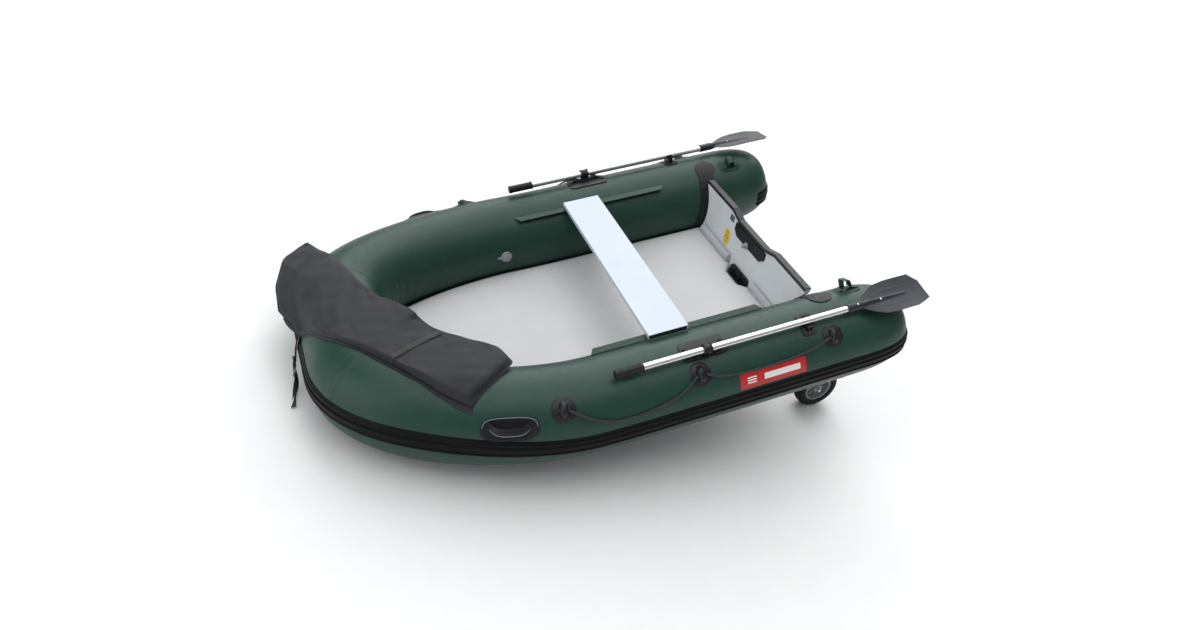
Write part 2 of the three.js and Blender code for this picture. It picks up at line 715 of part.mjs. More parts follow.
function eyelet(station) {
  const { angle, halfX, halfY } = EYELET;
  const foot = patch(station, angle, ellipse(halfX, halfY), halfX, halfY);
  const lug = outline([[-24, 2], [24, 2], [17, 22], [9, 28], [-9, 28], [-17, 22]]);
  lug.holes.push(new THREE.Path(circlePoints(EYELET.eyeRadius, 10, 0, EYELET.eye)));
  return join(foot, alongX(lug, -8, 8).applyMatrix4(surfaceFrame(station, angle)));
}
EYELET.stations.forEach((station, i) => pair(`eyelet_${i + 1}`, eyelet(station), BLACK_PLASTIC));

// The line's route by hand: [station, angle, height over the fabric], bow to stern.
const LINE_ROUTE = [
  [1258, 46.5, 15],
  [1240, 46.5, 15],
  [1214, 44, 14],
  [1168, 35, 9],
  [1115, 26.5, 6],
  [1060, 21.5, 6],
  [1000, 20, 6],
  [930, 21, 6],
  [860, 24, 6],
  [800, 28.5, 6],
  [750, 35, 8],
  [708, 44, 14],
  [680, 46.5, 15],
  [652, 44.5, 14],
  [610, 39, 9],
  [550, 36, 6],
  [480, 34.5, 6],
  [400, 34, 6],
  [320, 34.5, 6],
  [240, 36, 6],
  [170, 39, 8],
  [112, 44.5, 14],
  [80, 46.5, 15],
  [62, 46.5, 15],
];
function grabLine() {
  const extrudePath = new THREE.CatmullRomCurve3(LINE_ROUTE.map(([s, a, h]) => onTube(s, a, h)));
  const section = new THREE.Shape(circlePoints(LINE_RADIUS, 8));
  return closed(new THREE.ExtrudeGeometry(section, { extrudePath, steps: 56, bevelEnabled: false }));
}
pair("grab_line", grabLine(), ROPE);

function carryHandle() {
  const { station, angle, halfLength, halfHeight, halfGrip, height } = HANDLE;
  const foot = patch(station, angle, roundedBox(halfLength, halfHeight, 40), halfLength, halfHeight, 4);
  const strap = outline([
    [-halfGrip, 0],
    [-halfGrip + 12, 0],
    [-halfGrip + 20, height - 6],
    [halfGrip - 20, height - 6],
    [halfGrip - 12, 0],
    [halfGrip, 0],
    [halfGrip - 14, height],
    [-halfGrip + 14, height],
  ]);
  return join(foot, alongY(strap, -13, 13).applyMatrix4(surfaceFrame(station, angle)));
}
pair("carry_handle", carryHandle(), BLACK_RUBBER);

// ---- air valves ----------------------------------------------------------------------------

const valveFrame = surfaceFrame(VALVE.station, VALVE.angle);
const valveBody = turned([[9, 1], [VALVE.radius, 1], [VALVE.radius, 4], [18, 7], [9, 7], [9, 1]], 16);
pair("valve_body", valveBody.applyMatrix4(valveFrame), VALVE_PLASTIC);
const valveCap = turned([[0, 7.6], [17, 7.6], [17, 13], [14, 15], [0, 15]], 16);
pair("valve_cap", valveCap.applyMatrix4(valveFrame), VALVE_PLASTIC);

// ---- launching wheels ----------------------------------------------------------------------

const aftFace = (z) => -z * Math.tan(RAKE) - BOARD.thickness / Math.cos(RAKE) - GAP;
const lean = radians(LEG.lean);
const axleX = LEG.pivotX - LEG.length * Math.sin(lean);
const axleZ = LEG.pivotZ - LEG.length * Math.cos(lean);
const acrossY = (geometry) => geometry.rotateX(-Math.PI / 2);
const legPlace = (geometry, y) => geometry.translate(LEG.pivotX, y, LEG.pivotZ);
const CHEEK = { gap: 15, wall: 5, pin: 5, lockLift: 28 };

function wheelBracket() {
  const low = -34;
  const high = 84;
  const plate = outline([
    [aftFace(low), low],
    [aftFace(high), high],
    [aftFace(high) - 6, high],
    [aftFace(low) - 6, low],
  ]);
  const cheek = outline([
    [aftFace(low + 8) - 4, low + 8],
    [aftFace(high - 8) - 4, high - 8],
    [LEG.pivotX - 14, high - 14],
    [LEG.pivotX - 20, LEG.pivotZ - 6],
    [LEG.pivotX + 4, LEG.pivotZ - 18],
  ]);
  const at = (shape, from, to) => alongY(shape, LEG.y + from, LEG.y + to);
  const outerCheek = CHEEK.gap + CHEEK.wall;
  const body = join(
    at(plate, -34, 34),
    at(cheek, CHEEK.gap, outerCheek),
    at(cheek, -outerCheek, -CHEEK.gap),
    legPlace(acrossY(rod(CHEEK.pin, -outerCheek - 3, outerCheek + 3)), LEG.y),
  );
  const lockBore = acrossY(rod(5, -30, 30)).translate(LEG.pivotX, LEG.y - 18, LEG.pivotZ + CHEEK.lockLift);
  return cut(body, lockBore);
}
pair("wheel_bracket", wheelBracket(), STEEL);

function wheelLeg() {
  const eye = acrossY(rod(15, -CHEEK.gap + 1, CHEEK.gap - 1));
  const shoulder = CHEEK.lockLift + 5;
  const ear = outline([[-12, 0], [12, 0], [11, shoulder], [0, shoulder + 5], [-11, shoulder]]);
  ear.holes.push(new THREE.Path(circlePoints(4.6, 12, 0, CHEEK.lockLift)));
  const lockEar = alongY(ear, 1 - CHEEK.gap, 9 - CHEEK.gap);
  const tube = rod(LEG.radius, -LEG.length, -4).rotateY(lean);
  const foot = acrossY(rod(LEG.radius + 3, -14, 16)).translate(axleX - LEG.pivotX, 0, axleZ - LEG.pivotZ);
  const axle = acrossY(rod(WHEEL.axle, 0, WHEEL.y - LEG.y + WHEEL.halfWidth + 8));
  axle.translate(axleX - LEG.pivotX, 0, axleZ - LEG.pivotZ);
  const pinBore = acrossY(rod(CHEEK.pin + GAP, -40, 40));
  return legPlace(cut(join(eye, lockEar, tube, foot, axle), pinBore), LEG.y);
}
pair("wheel_leg", wheelLeg(), STEEL);

// Lock pin: a sprung pull pin in the inboard cheek, its tip facing the hole in the leg's ear.
const PIN_REACH = 23;
const lockPin = turned([[0, 0], [9, 0], [9, 8], [4, 11], [4, PIN_REACH], [0, PIN_REACH]], 12);
acrossY(lockPin).translate(LEG.pivotX, LEG.y - CHEEK.gap + 0.5 - PIN_REACH, LEG.pivotZ + CHEEK.lockLift);
pair("wheel_lock_pin", lockPin, STEEL);

const { bore, halfWidth, rimRadius, radius: tyreRadius } = WHEEL;
const rim = turned([
  [bore, -22],
  [20, -22],
  [24, -8],
  [rimRadius - 14, -6],
  [rimRadius - 10, -26],
  [rimRadius, -26],
  [rimRadius, 26],
  [rimRadius - 10, 26],
  [rimRadius - 14, 6],
  [24, 8],
  [20, 22],
  [bore, 22],
  [bore, -22],
], 28);
const toWheel = (geometry) => acrossY(geometry).translate(axleX, WHEEL.y, axleZ);
pair("wheel_rim", toWheel(rim), RIM);
const tyre = turned([
  [rimRadius + GAP, -24],
  [rimRadius + 12, -halfWidth],
  [tyreRadius - 14, -halfWidth + 2],
  [tyreRadius - 3, -halfWidth + 12],
  [tyreRadius, -halfWidth + 22],
  [tyreRadius, halfWidth - 22],
  [tyreRadius - 3, halfWidth - 12],
  [tyreRadius - 14, halfWidth - 2],
  [rimRadius + 12, halfWidth],
  [rimRadius + GAP, 24],
  [rimRadius + GAP, -24],
], 28);
pair("wheel_tyre", toWheel(tyre), TYRE);

// ---- carry bag -----------------------------------------------------------------------------

// The height of a sheet laid over the bow: level inside the tubes' axis, falling round them outside.
function restHeight(x, y) {
  const stations = Array.from({ length: 2 * AXIS_STEPS + 1 }, (_, i) => (i * STEP) / 2);
  const away = (station) => axisPoint(station).setZ(0).distanceTo(new THREE.Vector3(x, y, 0));
  const nearest = stations.reduce((best, s) => (away(s) < away(best) ? s : best));
  const { origin, out } = axisFrame(nearest);
  const outboard = Math.max((x - origin.x) * out.x + (y - origin.y) * out.y, 0);
  return origin.z + Math.sqrt(TUBE_RADIUS ** 2 - Math.min(outboard, 0.85 * TUBE_RADIUS) ** 2);
}

// The folded carry bag, laid across the bow from the port shoulder.
function carryBag() {
  const corner = ([x, y]) => point(x, y);
  const surface = (lift) => (u, v) => {
    const near = corner(BAG.nearPort).lerp(corner(BAG.nearStarboard), u);
    const far = corner(BAG.farPort).lerp(corner(BAG.farStarboard), u);
    const { x, y } = near.lerp(far, v);
    const crown = lift ? BAG.depth * (1 - (2 * v - 1) ** 2 / 3) : 0;
    return [x, y, restHeight(x, y) + BAG.clearance + crown];
  };
  return slab(14, 6, surface(true), surface(false));
}
add("carry_bag", carryBag(), BAG_FABRIC);

// ---- standing on the ground ----------------------------------------------------------------

// The ground touches the tyres and the bow tube from below, so its slope is that of the circles'
// common tangent.
const bowCentre = point(BOW_REACH, AXIS_HEIGHT + BOW_RISE);
const wheelCentre = point(axleX, axleZ);
const span = bowCentre.clone().sub(wheelCentre);
const PITCH = Math.atan2(span.y, span.x) - Math.asin((TUBE_RADIUS - tyreRadius) / span.length());
hull.rotation.y = PITCH;
const dinghy = new THREE.Group();
dinghy.add(hull);
dinghy.updateMatrixWorld(true);
const bounds = new THREE.Box3().setFromObject(dinghy, true);
const centre = bounds.getCenter(new THREE.Vector3());
hull.position.set(-centre.x, 0, -bounds.min.z);

export default dinghy;
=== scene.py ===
import json
import math

import bmesh
import bpy
import numpy as np
from mathutils import Matrix, Vector
from mathutils.bvhtree import BVHTree
from mathutils.kdtree import KDTree

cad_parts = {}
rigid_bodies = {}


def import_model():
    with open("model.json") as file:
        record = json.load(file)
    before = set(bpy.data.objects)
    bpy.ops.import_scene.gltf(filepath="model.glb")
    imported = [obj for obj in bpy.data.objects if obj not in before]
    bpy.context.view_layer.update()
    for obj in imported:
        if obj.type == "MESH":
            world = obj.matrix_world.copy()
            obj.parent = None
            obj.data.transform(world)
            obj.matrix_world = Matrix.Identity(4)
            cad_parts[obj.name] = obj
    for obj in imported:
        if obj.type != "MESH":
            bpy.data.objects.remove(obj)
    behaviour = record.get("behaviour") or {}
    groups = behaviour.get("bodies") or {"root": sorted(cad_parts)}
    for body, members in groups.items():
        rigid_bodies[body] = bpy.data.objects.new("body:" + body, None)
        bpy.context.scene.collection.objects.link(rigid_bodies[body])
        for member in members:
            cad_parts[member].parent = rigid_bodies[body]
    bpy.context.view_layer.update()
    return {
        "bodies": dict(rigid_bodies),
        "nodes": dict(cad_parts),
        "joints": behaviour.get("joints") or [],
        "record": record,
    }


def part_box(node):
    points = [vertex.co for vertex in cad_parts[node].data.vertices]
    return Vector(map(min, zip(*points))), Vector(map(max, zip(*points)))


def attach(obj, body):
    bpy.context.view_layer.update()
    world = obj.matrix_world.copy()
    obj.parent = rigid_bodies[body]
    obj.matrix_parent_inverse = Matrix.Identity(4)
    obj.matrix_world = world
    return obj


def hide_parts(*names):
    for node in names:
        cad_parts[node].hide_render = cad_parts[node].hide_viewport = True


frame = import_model()

# ---- the hull's own frame ----
# +X to the bow, +Y to port, +Z up, the air deck's top at z = 0 and the transom's foot at x = 0.
# The bench slides along the hull, so its joint gives the pitch, and the deck mount the place.

SLIDE = next(joint for joint in frame["joints"] if joint["name"] == "bench_slide")
DECK = next(mount for mount in frame["record"]["mounts"] if mount["name"] == "deck_top")
DECK_MOUNT_X = 0.4
ALONG = Vector(SLIDE["axis"])
PITCH = math.atan2(-ALONG.z, ALONG.x)
TILT = Matrix.Rotation(PITCH, 4, "Y")
HULL = Matrix.Translation(Vector(DECK["pos_m"]) - TILT @ Vector((DECK_MOUNT_X, 0, 0))) @ TILT

# ---- driving dimensions, in metres ----

TUBE_RADIUS = 0.190
HALF_BEAM = 0.608
AXIS_HEIGHT = 0.084
STRAIGHT_AFT = -0.085
STRAIGHT_FORE = 1.008
BOW_REACH = 1.850
BOW_HALF_FLAT = 0.170
SHOULDER_AFT_PULL = 0.284
SHOULDER_FORE_PULL = 0.301
BOW_RISE = 0.104
RISE_START = 0.771
TAIL_LENGTH = 0.338
TAIL_POWER = 3.5
RAKE = math.atan(0.181)
OAR_ANGLE = 70.2
OAR_HEIGHT = 0.0343
OAR_X = 0.545
EYELET_STATIONS = (1.240, 0.680, 0.080)
EYELET_ANGLE = 46.5

SIDES = {"port": 1, "starboard": -1}


# ---- camera ----

def make_camera():
    place = Vector((1.8560, 2.9231, 2.7237))
    target = Vector((0.7442, 0.0373, 0.0105))
    roll = -0.00942
    forward = (target - place).normalized()
    right = forward.cross(Vector((0, 0, 1))).normalized()
    up = right.cross(forward)
    right, up = (
        math.cos(roll) * right + math.sin(roll) * up,
        math.cos(roll) * up - math.sin(roll) * right,
    )
    data = bpy.data.cameras.new("camera")
    data.sensor_width = 36
    data.lens = 27
    camera = bpy.data.objects.new("camera", data)
    bpy.context.scene.collection.objects.link(camera)
    turn = Matrix((right, up, -forward)).transposed().to_4x4()
    camera.matrix_world = HULL @ Matrix.Translation(place) @ turn
    bpy.context.scene.camera = camera


make_camera()


# ---- the tubes' axis ----

def plan_points(steps=1200):
    """Port half of the axis in plan, from the tail to the middle of the bow."""
    t = np.linspace(0, 1, steps)[:, None]
    p0 = np.array([STRAIGHT_FORE, HALF_BEAM])
    p1 = np.array([STRAIGHT_FORE + SHOULDER_AFT_PULL, HALF_BEAM])
    p2 = np.array([BOW_REACH, BOW_HALF_FLAT + SHOULDER_FORE_PULL])
    p3 = np.array([BOW_REACH, BOW_HALF_FLAT])
    curve = (1 - t) ** 3 * p0 + 3 * (1 - t) ** 2 * t * p1 + 3 * (1 - t) * t * t * p2 + t**3 * p3
    start = np.array([[STRAIGHT_AFT, HALF_BEAM]])
    return np.vstack([start, curve, [[BOW_REACH, 0.0]]])


PLAN = plan_points()
PLAN_LENGTH = np.concatenate([[0], np.cumsum(np.linalg.norm(np.diff(PLAN, axis=0), axis=1))])
HALF_LENGTH = float(PLAN_LENGTH[-1])
AXIS_LENGTH = 2 * HALF_LENGTH


def rise(x):
    return BOW_RISE * (np.maximum(x - RISE_START, 0) / (BOW_REACH - RISE_START)) ** 2


def axis_point(station):
    """The axis at a station: its length in plan from the port tail round to the starboard one."""
    s = np.asarray(station, float)
    port = s <= HALF_LENGTH
    length = np.where(port, s, AXIS_LENGTH - s)
    x = np.interp(length, PLAN_LENGTH, PLAN[:, 0]) + np.minimum(length, 0)
    y = np.interp(length, PLAN_LENGTH, PLAN[:, 1]) * np.where(port, 1, -1)
    return np.stack([x, y, AXIS_HEIGHT + rise(x)], -1)


def unit(vectors):
    return vectors / np.linalg.norm(vectors, axis=-1, keepdims=True)


def axis_frame(station):
    """Along the tube, outwards and upwards across it, at a station."""
    step = 0.004
    along = unit(axis_point(station + step) - axis_point(station - step))
    out = unit(np.cross([0.0, 0.0, 1.0], along))
    return along, out, np.cross(along, out)


def on_tube(station, degrees, height=0.0, radius=TUBE_RADIUS):
    """A point at an angle above the outward direction and a height over the tube's surface."""
    s = np.asarray(station, float)
    a = np.radians(degrees)
    _, out, up = axis_frame(s)
    reach = np.asarray(radius + height)[..., None]
    return axis_point(s) + reach * (np.cos(a)[..., None] * out + np.sin(a)[..., None] * up)


def surface_frame(station, degrees, side=1):
    """A frame on the fabric: X along the tube, Z straight out of it. Mirrored for starboard."""
    along, _, _ = axis_frame(float(station))
    foot = on_tube(station, degrees)
    normal = unit(on_tube(station, degrees, 0.01) - foot)
    across = np.cross(normal, along)
    m = Matrix.Identity(4)
    for column, vector in enumerate((along, across, normal, foot)):
        for row in range(3):
            m[row][column] = float(vector[row])
    mirror = Matrix.Scale(-1, 4, (0, 1, 0)) if side < 0 else Matrix.Identity(4)
    return mirror @ m


def tail_radius(station):
    """The tube's radius, which closes over its rounded tails."""
    s = np.asarray(station, float)
    past = np.maximum(-s, s - AXIS_LENGTH)
    u = np.clip(past / TAIL_LENGTH, 0, 1)
    return TUBE_RADIUS * (1 - u**TAIL_POWER) ** (1 / TAIL_POWER)


# ---- meshes ----

def row_points(points, place=HULL):
    """Points of the hull's frame, or of another placed frame, in the row frame."""
    m = np.array(place)
    return np.asarray(points, float) @ m[:3, :3].T + m[:3, 3]


def make_object(name, solid, material, body="hull", place=HULL, sharp=40, edge=0.0):
    """A piece from (vertices, faces), with its place baked into the mesh."""
    vertices, faces = solid
    mesh = bpy.data.meshes.new(name)
    mesh.from_pydata(row_points(vertices, place).tolist(), [], [tuple(face) for face in faces])
    bm = bmesh.new()
    bm.from_mesh(mesh)
    bmesh.ops.remove_doubles(bm, verts=bm.verts, dist=1e-6)
    bmesh.ops.recalc_face_normals(bm, faces=bm.faces)
    bm.to_mesh(mesh)
    bm.free()
    mesh.validate()
    mesh.shade_smooth()
    mesh.set_sharp_from_angle(angle=math.radians(sharp))
    mesh.materials.append(MATERIALS[material])
    piece = bpy.data.objects.new(name, mesh)
    bpy.context.scene.collection.objects.link(piece)
    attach(piece, body)
    if edge:
        bevel(piece, edge)
    return piece


def combine(*solids):
    """Several closed solids as one list of vertices and faces."""
    vertices, faces = [], []
    for points, loops in solids:
        start = len(vertices)
        vertices += [tuple(float(x) for x in point) for point in points]
        faces += [tuple(start + k for k in loop) for loop in loops]
    return vertices, faces


def placed(solid, frame):
    return row_points(solid[0], frame), solid[1]


def block(centre, half):
    """A box by its centre and half sizes."""
    signs = [(x, y, z) for x in (-1, 1) for y in (-1, 1) for z in (-1, 1)]
    vertices = [[c + k * h for c, k, h in zip(centre, sign, half)] for sign in signs]
    faces = [(0, 1, 3, 2), (4, 6, 7, 5), (0, 4, 5, 1), (2, 3, 7, 6), (0, 2, 6, 4), (1, 5, 7, 3)]
    return vertices, faces


def lathe(profile, sides=32, ring=False):
    """A profile of (radius, height) turned about Z. A ring's profile is a closed loop."""
    turns = np.linspace(0, 2 * math.pi, sides, endpoint=False)
    vertices = [(r * math.cos(a), r * math.sin(a), h) for r, h in profile for a in turns]
    faces = grid_faces(len(profile), sides, close_rows=ring, close_columns=True)
    if not ring:
        last = len(vertices) - sides
        faces += [list(range(sides))[::-1], list(range(last, last + sides))]
    return vertices, faces


def prism(outline, low, high):
    """A flat outline of (x, y) points, raised from z = low to z = high."""
    count = len(outline)
    vertices = [(x, y, z) for z in (low, high) for x, y in outline]
    faces = grid_faces(2, count, close_columns=True)
    return vertices, faces + [list(range(count))[::-1], list(range(count, 2 * count))]


def superellipse(half_x, half_y, power=2.0, sides=48):
    a = np.linspace(0, 2 * math.pi, sides, endpoint=False)
    c, s = np.cos(a), np.sin(a)
    x = np.sign(c) * np.abs(c) ** (2 / power) * half_x
    y = np.sign(s) * np.abs(s) ** (2 / power) * half_y
    return np.stack([x, y], -1)


def dome(station, degrees, half, profile, power=2.0, side=1, shift=(0, 0), sides=48):
    """A moulding on the fabric. Its profile is (share of the outline, height over the fabric)."""
    rim = superellipse(*half, power, sides)
    shares = [r for r, _ in profile] + [profile[-1][0], 0.0]
    heights = [h for _, h in profile] + [-0.0015, -0.0015]
    vertices = []
    for share, height in zip(shares, heights):
        x, y = (rim * share + np.array(shift)).T
        angles = degrees - np.degrees(y / TUBE_RADIUS)
        vertices.append(on_tube(station + x, angles, np.full(len(x), height)))
    points = mirrored(np.concatenate(vertices), side)
    return points, grid_faces(len(shares), sides, close_columns=True)


def sticker(station, degrees, half_x, half_y, low, high, side=1, shift=(0, 0)):
    """A thin rectangle that follows the fabric."""
    columns, rows = 24, 8
    across, down = np.linspace(-half_x, half_x, columns), np.linspace(-half_y, half_y, rows)
    x, y = np.meshgrid(across, down, indexing="ij")
    x, y = x.ravel() + shift[0], y.ravel() + shift[1]
    angles = degrees - np.degrees(y / TUBE_RADIUS)
    layers = [on_tube(station + x, angles, np.full(len(x), h)) for h in (low, high)]
    return mirrored(np.concatenate(layers), side), slab_faces(columns, rows)


def slab_faces(columns, rows):
    """Faces of a closed sheet: two grids of points, one after the other, joined round the rim."""
    count = columns * rows
    faces = grid_faces(columns, rows)
    faces += [tuple(count + k for k in reversed(face)) for face in grid_faces(columns, rows)]
    rim = list(range(rows))
    rim += [i * rows + rows - 1 for i in range(1, columns)]
    rim += [(columns - 1) * rows + j for j in range(rows - 2, -1, -1)]
    rim += [i * rows for i in range(columns - 2, 0, -1)]
    return faces + [(a, b, count + b, count + a) for a, b in zip(rim, rim[1:] + rim[:1])]


def ribbon(points, across, half_width, thickness):
    """A flat strap along points. across is its width's direction at each point."""
    points, across = np.asarray(points, float), unit(np.asarray(across, float))
    along = unit(np.gradient(points, axis=0))
    normal = unit(np.cross(along, across))
    half = thickness / 2
    profile = [(-1, -0.6), (-0.94, -1), (0.94, -1), (1, -0.6), (1, 0.6), (0.94, 1), (-0.94, 1), (-1, 0.6)]
    rings = [points + a * half_width * across + b * half * normal for a, b in profile]
    vertices = np.stack(rings, 1).reshape(-1, 3)
    count, last = len(profile), len(vertices) - len(profile)
    faces = grid_faces(len(points), count, close_columns=True)
    return vertices, faces + [list(range(count))[::-1], list(range(last, last + count))]


def grid_faces(rows, columns, close_rows=False, close_columns=False):
    """Quads over a grid of points stored row by row."""
    faces = []
    for i in range(rows if close_rows else rows - 1):
        for j in range(columns if close_columns else columns - 1):
            a, b = i * columns + j, i * columns + (j + 1) % columns
            c, d = ((i + 1) % rows) * columns + (j + 1) % columns, ((i + 1) % rows) * columns + j
            faces.append((a, b, c, d))
    return faces


BEVEL_ANGLE = math.radians(30)


def bevel(piece, width, segments=2):
    modifier = piece.modifiers.new("bevel", "BEVEL")
    modifier.width = width
    modifier.segments = segments
    modifier.limit_method = "ANGLE"
    modifier.angle_limit = BEVEL_ANGLE
    modifier.harden_normals = True


def subdivide(piece, levels=1):
    modifier = piece.modifiers.new("subdivision", "SUBSURF")
    modifier.levels = levels
    modifier.render_levels = levels


# ---- materials ----

def shader(name, roughness, metallic=0.0, sheen=0.0, specular=0.5):
    """A material with its Principled shader, and the object's own coordinates."""
    made = bpy.data.materials.new(name)
    made.use_nodes = True
    nodes, links = made.node_tree.nodes, made.node_tree.links
    principled = nodes["Principled BSDF"]
    principled.inputs["Roughness"].default_value = roughness
    principled.inputs["Metallic"].default_value = metallic
    principled.inputs["Sheen Weight"].default_value = sheen
    principled.inputs["Specular IOR Level"].default_value = specular
    coordinates = nodes.new("ShaderNodeTexCoord").outputs["Object"]
    return made, nodes, links, principled, coordinates


def noise(nodes, links, coordinates, scale, detail, roughness):
    texture = nodes.new("ShaderNodeTexNoise")
    texture.inputs["Scale"].default_value = scale
    texture.inputs["Detail"].default_value = detail
    texture.inputs["Roughness"].default_value = roughness
    links.new(coordinates, texture.inputs["Vector"])
    return texture.outputs["Fac"]


def ramp(nodes, links, factor, stops):
    """Colours or greys over a 0..1 factor, as (position, value) stops."""
    node = nodes.new("ShaderNodeValToRGB")
    elements = node.color_ramp.elements
    while len(elements) < len(stops):
        elements.new(0.5)
    for element, (position, value) in zip(elements, stops):
        element.position = position
        grey = isinstance(value, (int, float))
        element.color = (value, value, value, 1) if grey else (*value, 1)
    links.new(factor, node.inputs["Fac"])
    return node.outputs["Color"]


def bump(nodes, links, height, distance, strength=1.0, under=None):
    node = nodes.new("ShaderNodeBump")
    node.inputs["Distance"].default_value = distance
    node.inputs["Strength"].default_value = strength
    links.new(height, node.inputs["Height"])
    if under is not None:
        links.new(under, node.inputs["Normal"])
    return node.outputs["Normal"]


def shade(color, factor):
    return tuple(min(channel * factor, 1) for channel in color)


ROUGHNESS_SPREAD = 0.08


def grained(name, color, roughness, grain, depth, vary, metallic=0.0, patchy=9, specular=0.5):
    """A surface with broad tone variation, a roughness that wanders, and a fine grain."""
    made, nodes, links, principled, at = shader(name, roughness, metallic, specular=specular)
    broad = noise(nodes, links, at, patchy, 5, 0.6)
    tones = [(0.3, shade(color, 1 - vary)), (0.7, shade(color, 1 + vary))]
    links.new(ramp(nodes, links, broad, tones), principled.inputs["Base Color"])
    scuffs = noise(nodes, links, at, patchy * 5, 6, 0.7)
    spread = [(0.3, roughness - ROUGHNESS_SPREAD), (0.7, roughness + ROUGHNESS_SPREAD)]
    links.new(ramp(nodes, links, scuffs, spread), principled.inputs["Roughness"])
    fine = noise(nodes, links, at, grain, 3, 0.6)
    links.new(bump(nodes, links, fine, depth), principled.inputs["Normal"])
    return made


def woven(name, color, roughness, pitch=0.0012, depth=0.0002, vary=0.15, sheen=0.2, creases=0.0):
    """Cloth: two crossed sets of threads over broad tone variation, with soft creases."""
    made, nodes, links, principled, at = shader(name, roughness, sheen=sheen)
    broad = noise(nodes, links, at, 12, 5, 0.65)
    tones = [(0.3, shade(color, 1 - vary)), (0.72, shade(color, 1 + vary))]
    links.new(ramp(nodes, links, broad, tones), principled.inputs["Base Color"])
    threads = []
    for direction in ("X", "Y"):
        wave = nodes.new("ShaderNodeTexWave")
        wave.bands_direction = direction
        wave.inputs["Scale"].default_value = 0.314 / pitch
        wave.inputs["Distortion"].default_value = 0.6
        links.new(at, wave.inputs["Vector"])
        threads.append(wave.outputs["Fac"])
    cross = nodes.new("ShaderNodeMath")
    cross.operation = "MAXIMUM"
    links.new(threads[0], cross.inputs[0])
    links.new(threads[1], cross.inputs[1])
    normal = bump(nodes, links, cross.outputs["Value"], depth)
    if creases:
        folds = noise(nodes, links, at, 14, 4, 0.55)
        normal = bump(nodes, links, folds, creases, 1.0, normal)
    links.new(normal, principled.inputs["Normal"])
    return made


# Kind, name, colour, then roughness and the kind's own numbers in its arguments' order.
SURFACES = [
    (grained, "tube_fabric", (0.0095, 0.047, 0.031), [0.42, 700, 0.00012, 0.12], {"specular": 0.37}),
    (grained, "tape_fabric", (0.009, 0.042, 0.027), [0.46, 700, 0.0002, 0.12], {"specular": 0.3}),
    (grained, "strake_rubber", (0.0025, 0.003, 0.003), [0.42, 1200, 0.0002, 0.25], {"specular": 0.12}),
    (grained, "deck_fabric", (0.60, 0.605, 0.61), [0.62, 260, 0.0006, 0.04], {"patchy": 3}),
    (woven, "skin_fabric", (0.010, 0.013, 0.014), [0.5]),
    (grained, "transom_paint", (0.70, 0.74, 0.76), [0.42, 350, 0.00012, 0.05], {"patchy": 5}),
    (grained, "trim_plastic", (0.022, 0.024, 0.031), [0.45, 900, 0.0001, 0.2], {"specular": 0.4}),
    (grained, "pad_rubber", (0.006, 0.0065, 0.009), [0.48, 900, 0.0003, 0.25], {"specular": 0.35}),
    (grained, "bracket_plastic", (0.46, 0.50, 0.53), [0.45, 700, 0.0001, 0.06]),
    (grained, "bench_paint", (0.60, 0.67, 0.75), [0.38, 500, 0.0001, 0.03], {"patchy": 5}),
    (grained, "fitting_plastic", (0.006, 0.0065, 0.009), [0.42, 900, 0.0002, 0.25], {"specular": 0.4}),
    (grained, "blade_plastic", (0.017, 0.020, 0.030), [0.45, 800, 0.0002, 0.15], {"specular": 0.4}),
    (grained, "shaft_aluminium", (0.76, 0.75, 0.73), [0.30, 900, 0.00002, 0.04], {"metallic": 1.0}),
    (grained, "grip_rubber", (0.005, 0.006, 0.008), [0.5, 1500, 0.0004, 0.25], {"specular": 0.4}),
    (grained, "zinc_steel", (0.50, 0.50, 0.51), [0.34, 600, 0.00008, 0.1], {"metallic": 1.0}),
    (grained, "tyre", (0.008, 0.008, 0.008), [0.7, 700, 0.0005, 0.3], {"specular": 0.3}),
    (grained, "rim_plastic", (0.20, 0.21, 0.21), [0.45, 900, 0.0002, 0.15]),
    (woven, "bag_fabric", (0.006, 0.0075, 0.0135), [0.6, 0.0009, 0.00025, 0.15, 0.06, 0.0016]),
    (woven, "webbing", (0.0035, 0.0035, 0.0045), [0.6, 0.0016, 0.0004, 0.2]),
    (grained, "valve_plastic", (0.30, 0.33, 0.34), [0.4, 900, 0.0001, 0.08]),
    # Light grey, for the strap's bead and for the painted highlight round the handle rims.
    (grained, "piping", (0.22, 0.24, 0.25), [0.45, 900, 0.0001, 0.08]),
    (grained, "label_red", (0.50, 0.012, 0.016), [0.35, 900, 0.00005, 0.06]),
    (grained, "label_white", (0.80, 0.80, 0.79), [0.35, 900, 0.00005, 0.03]),
    (grained, "label_yellow", (0.80, 0.56, 0.02), [0.35, 900, 0.00005, 0.05]),
    (grained, "label_grey", (0.10, 0.12, 0.14), [0.40, 900, 0.00005, 0.05]),
]
MATERIALS = {
    name: kind(name, color, *numbers, **(extra[0] if extra else {}))
    for kind, name, color, numbers, *extra in SURFACES
}


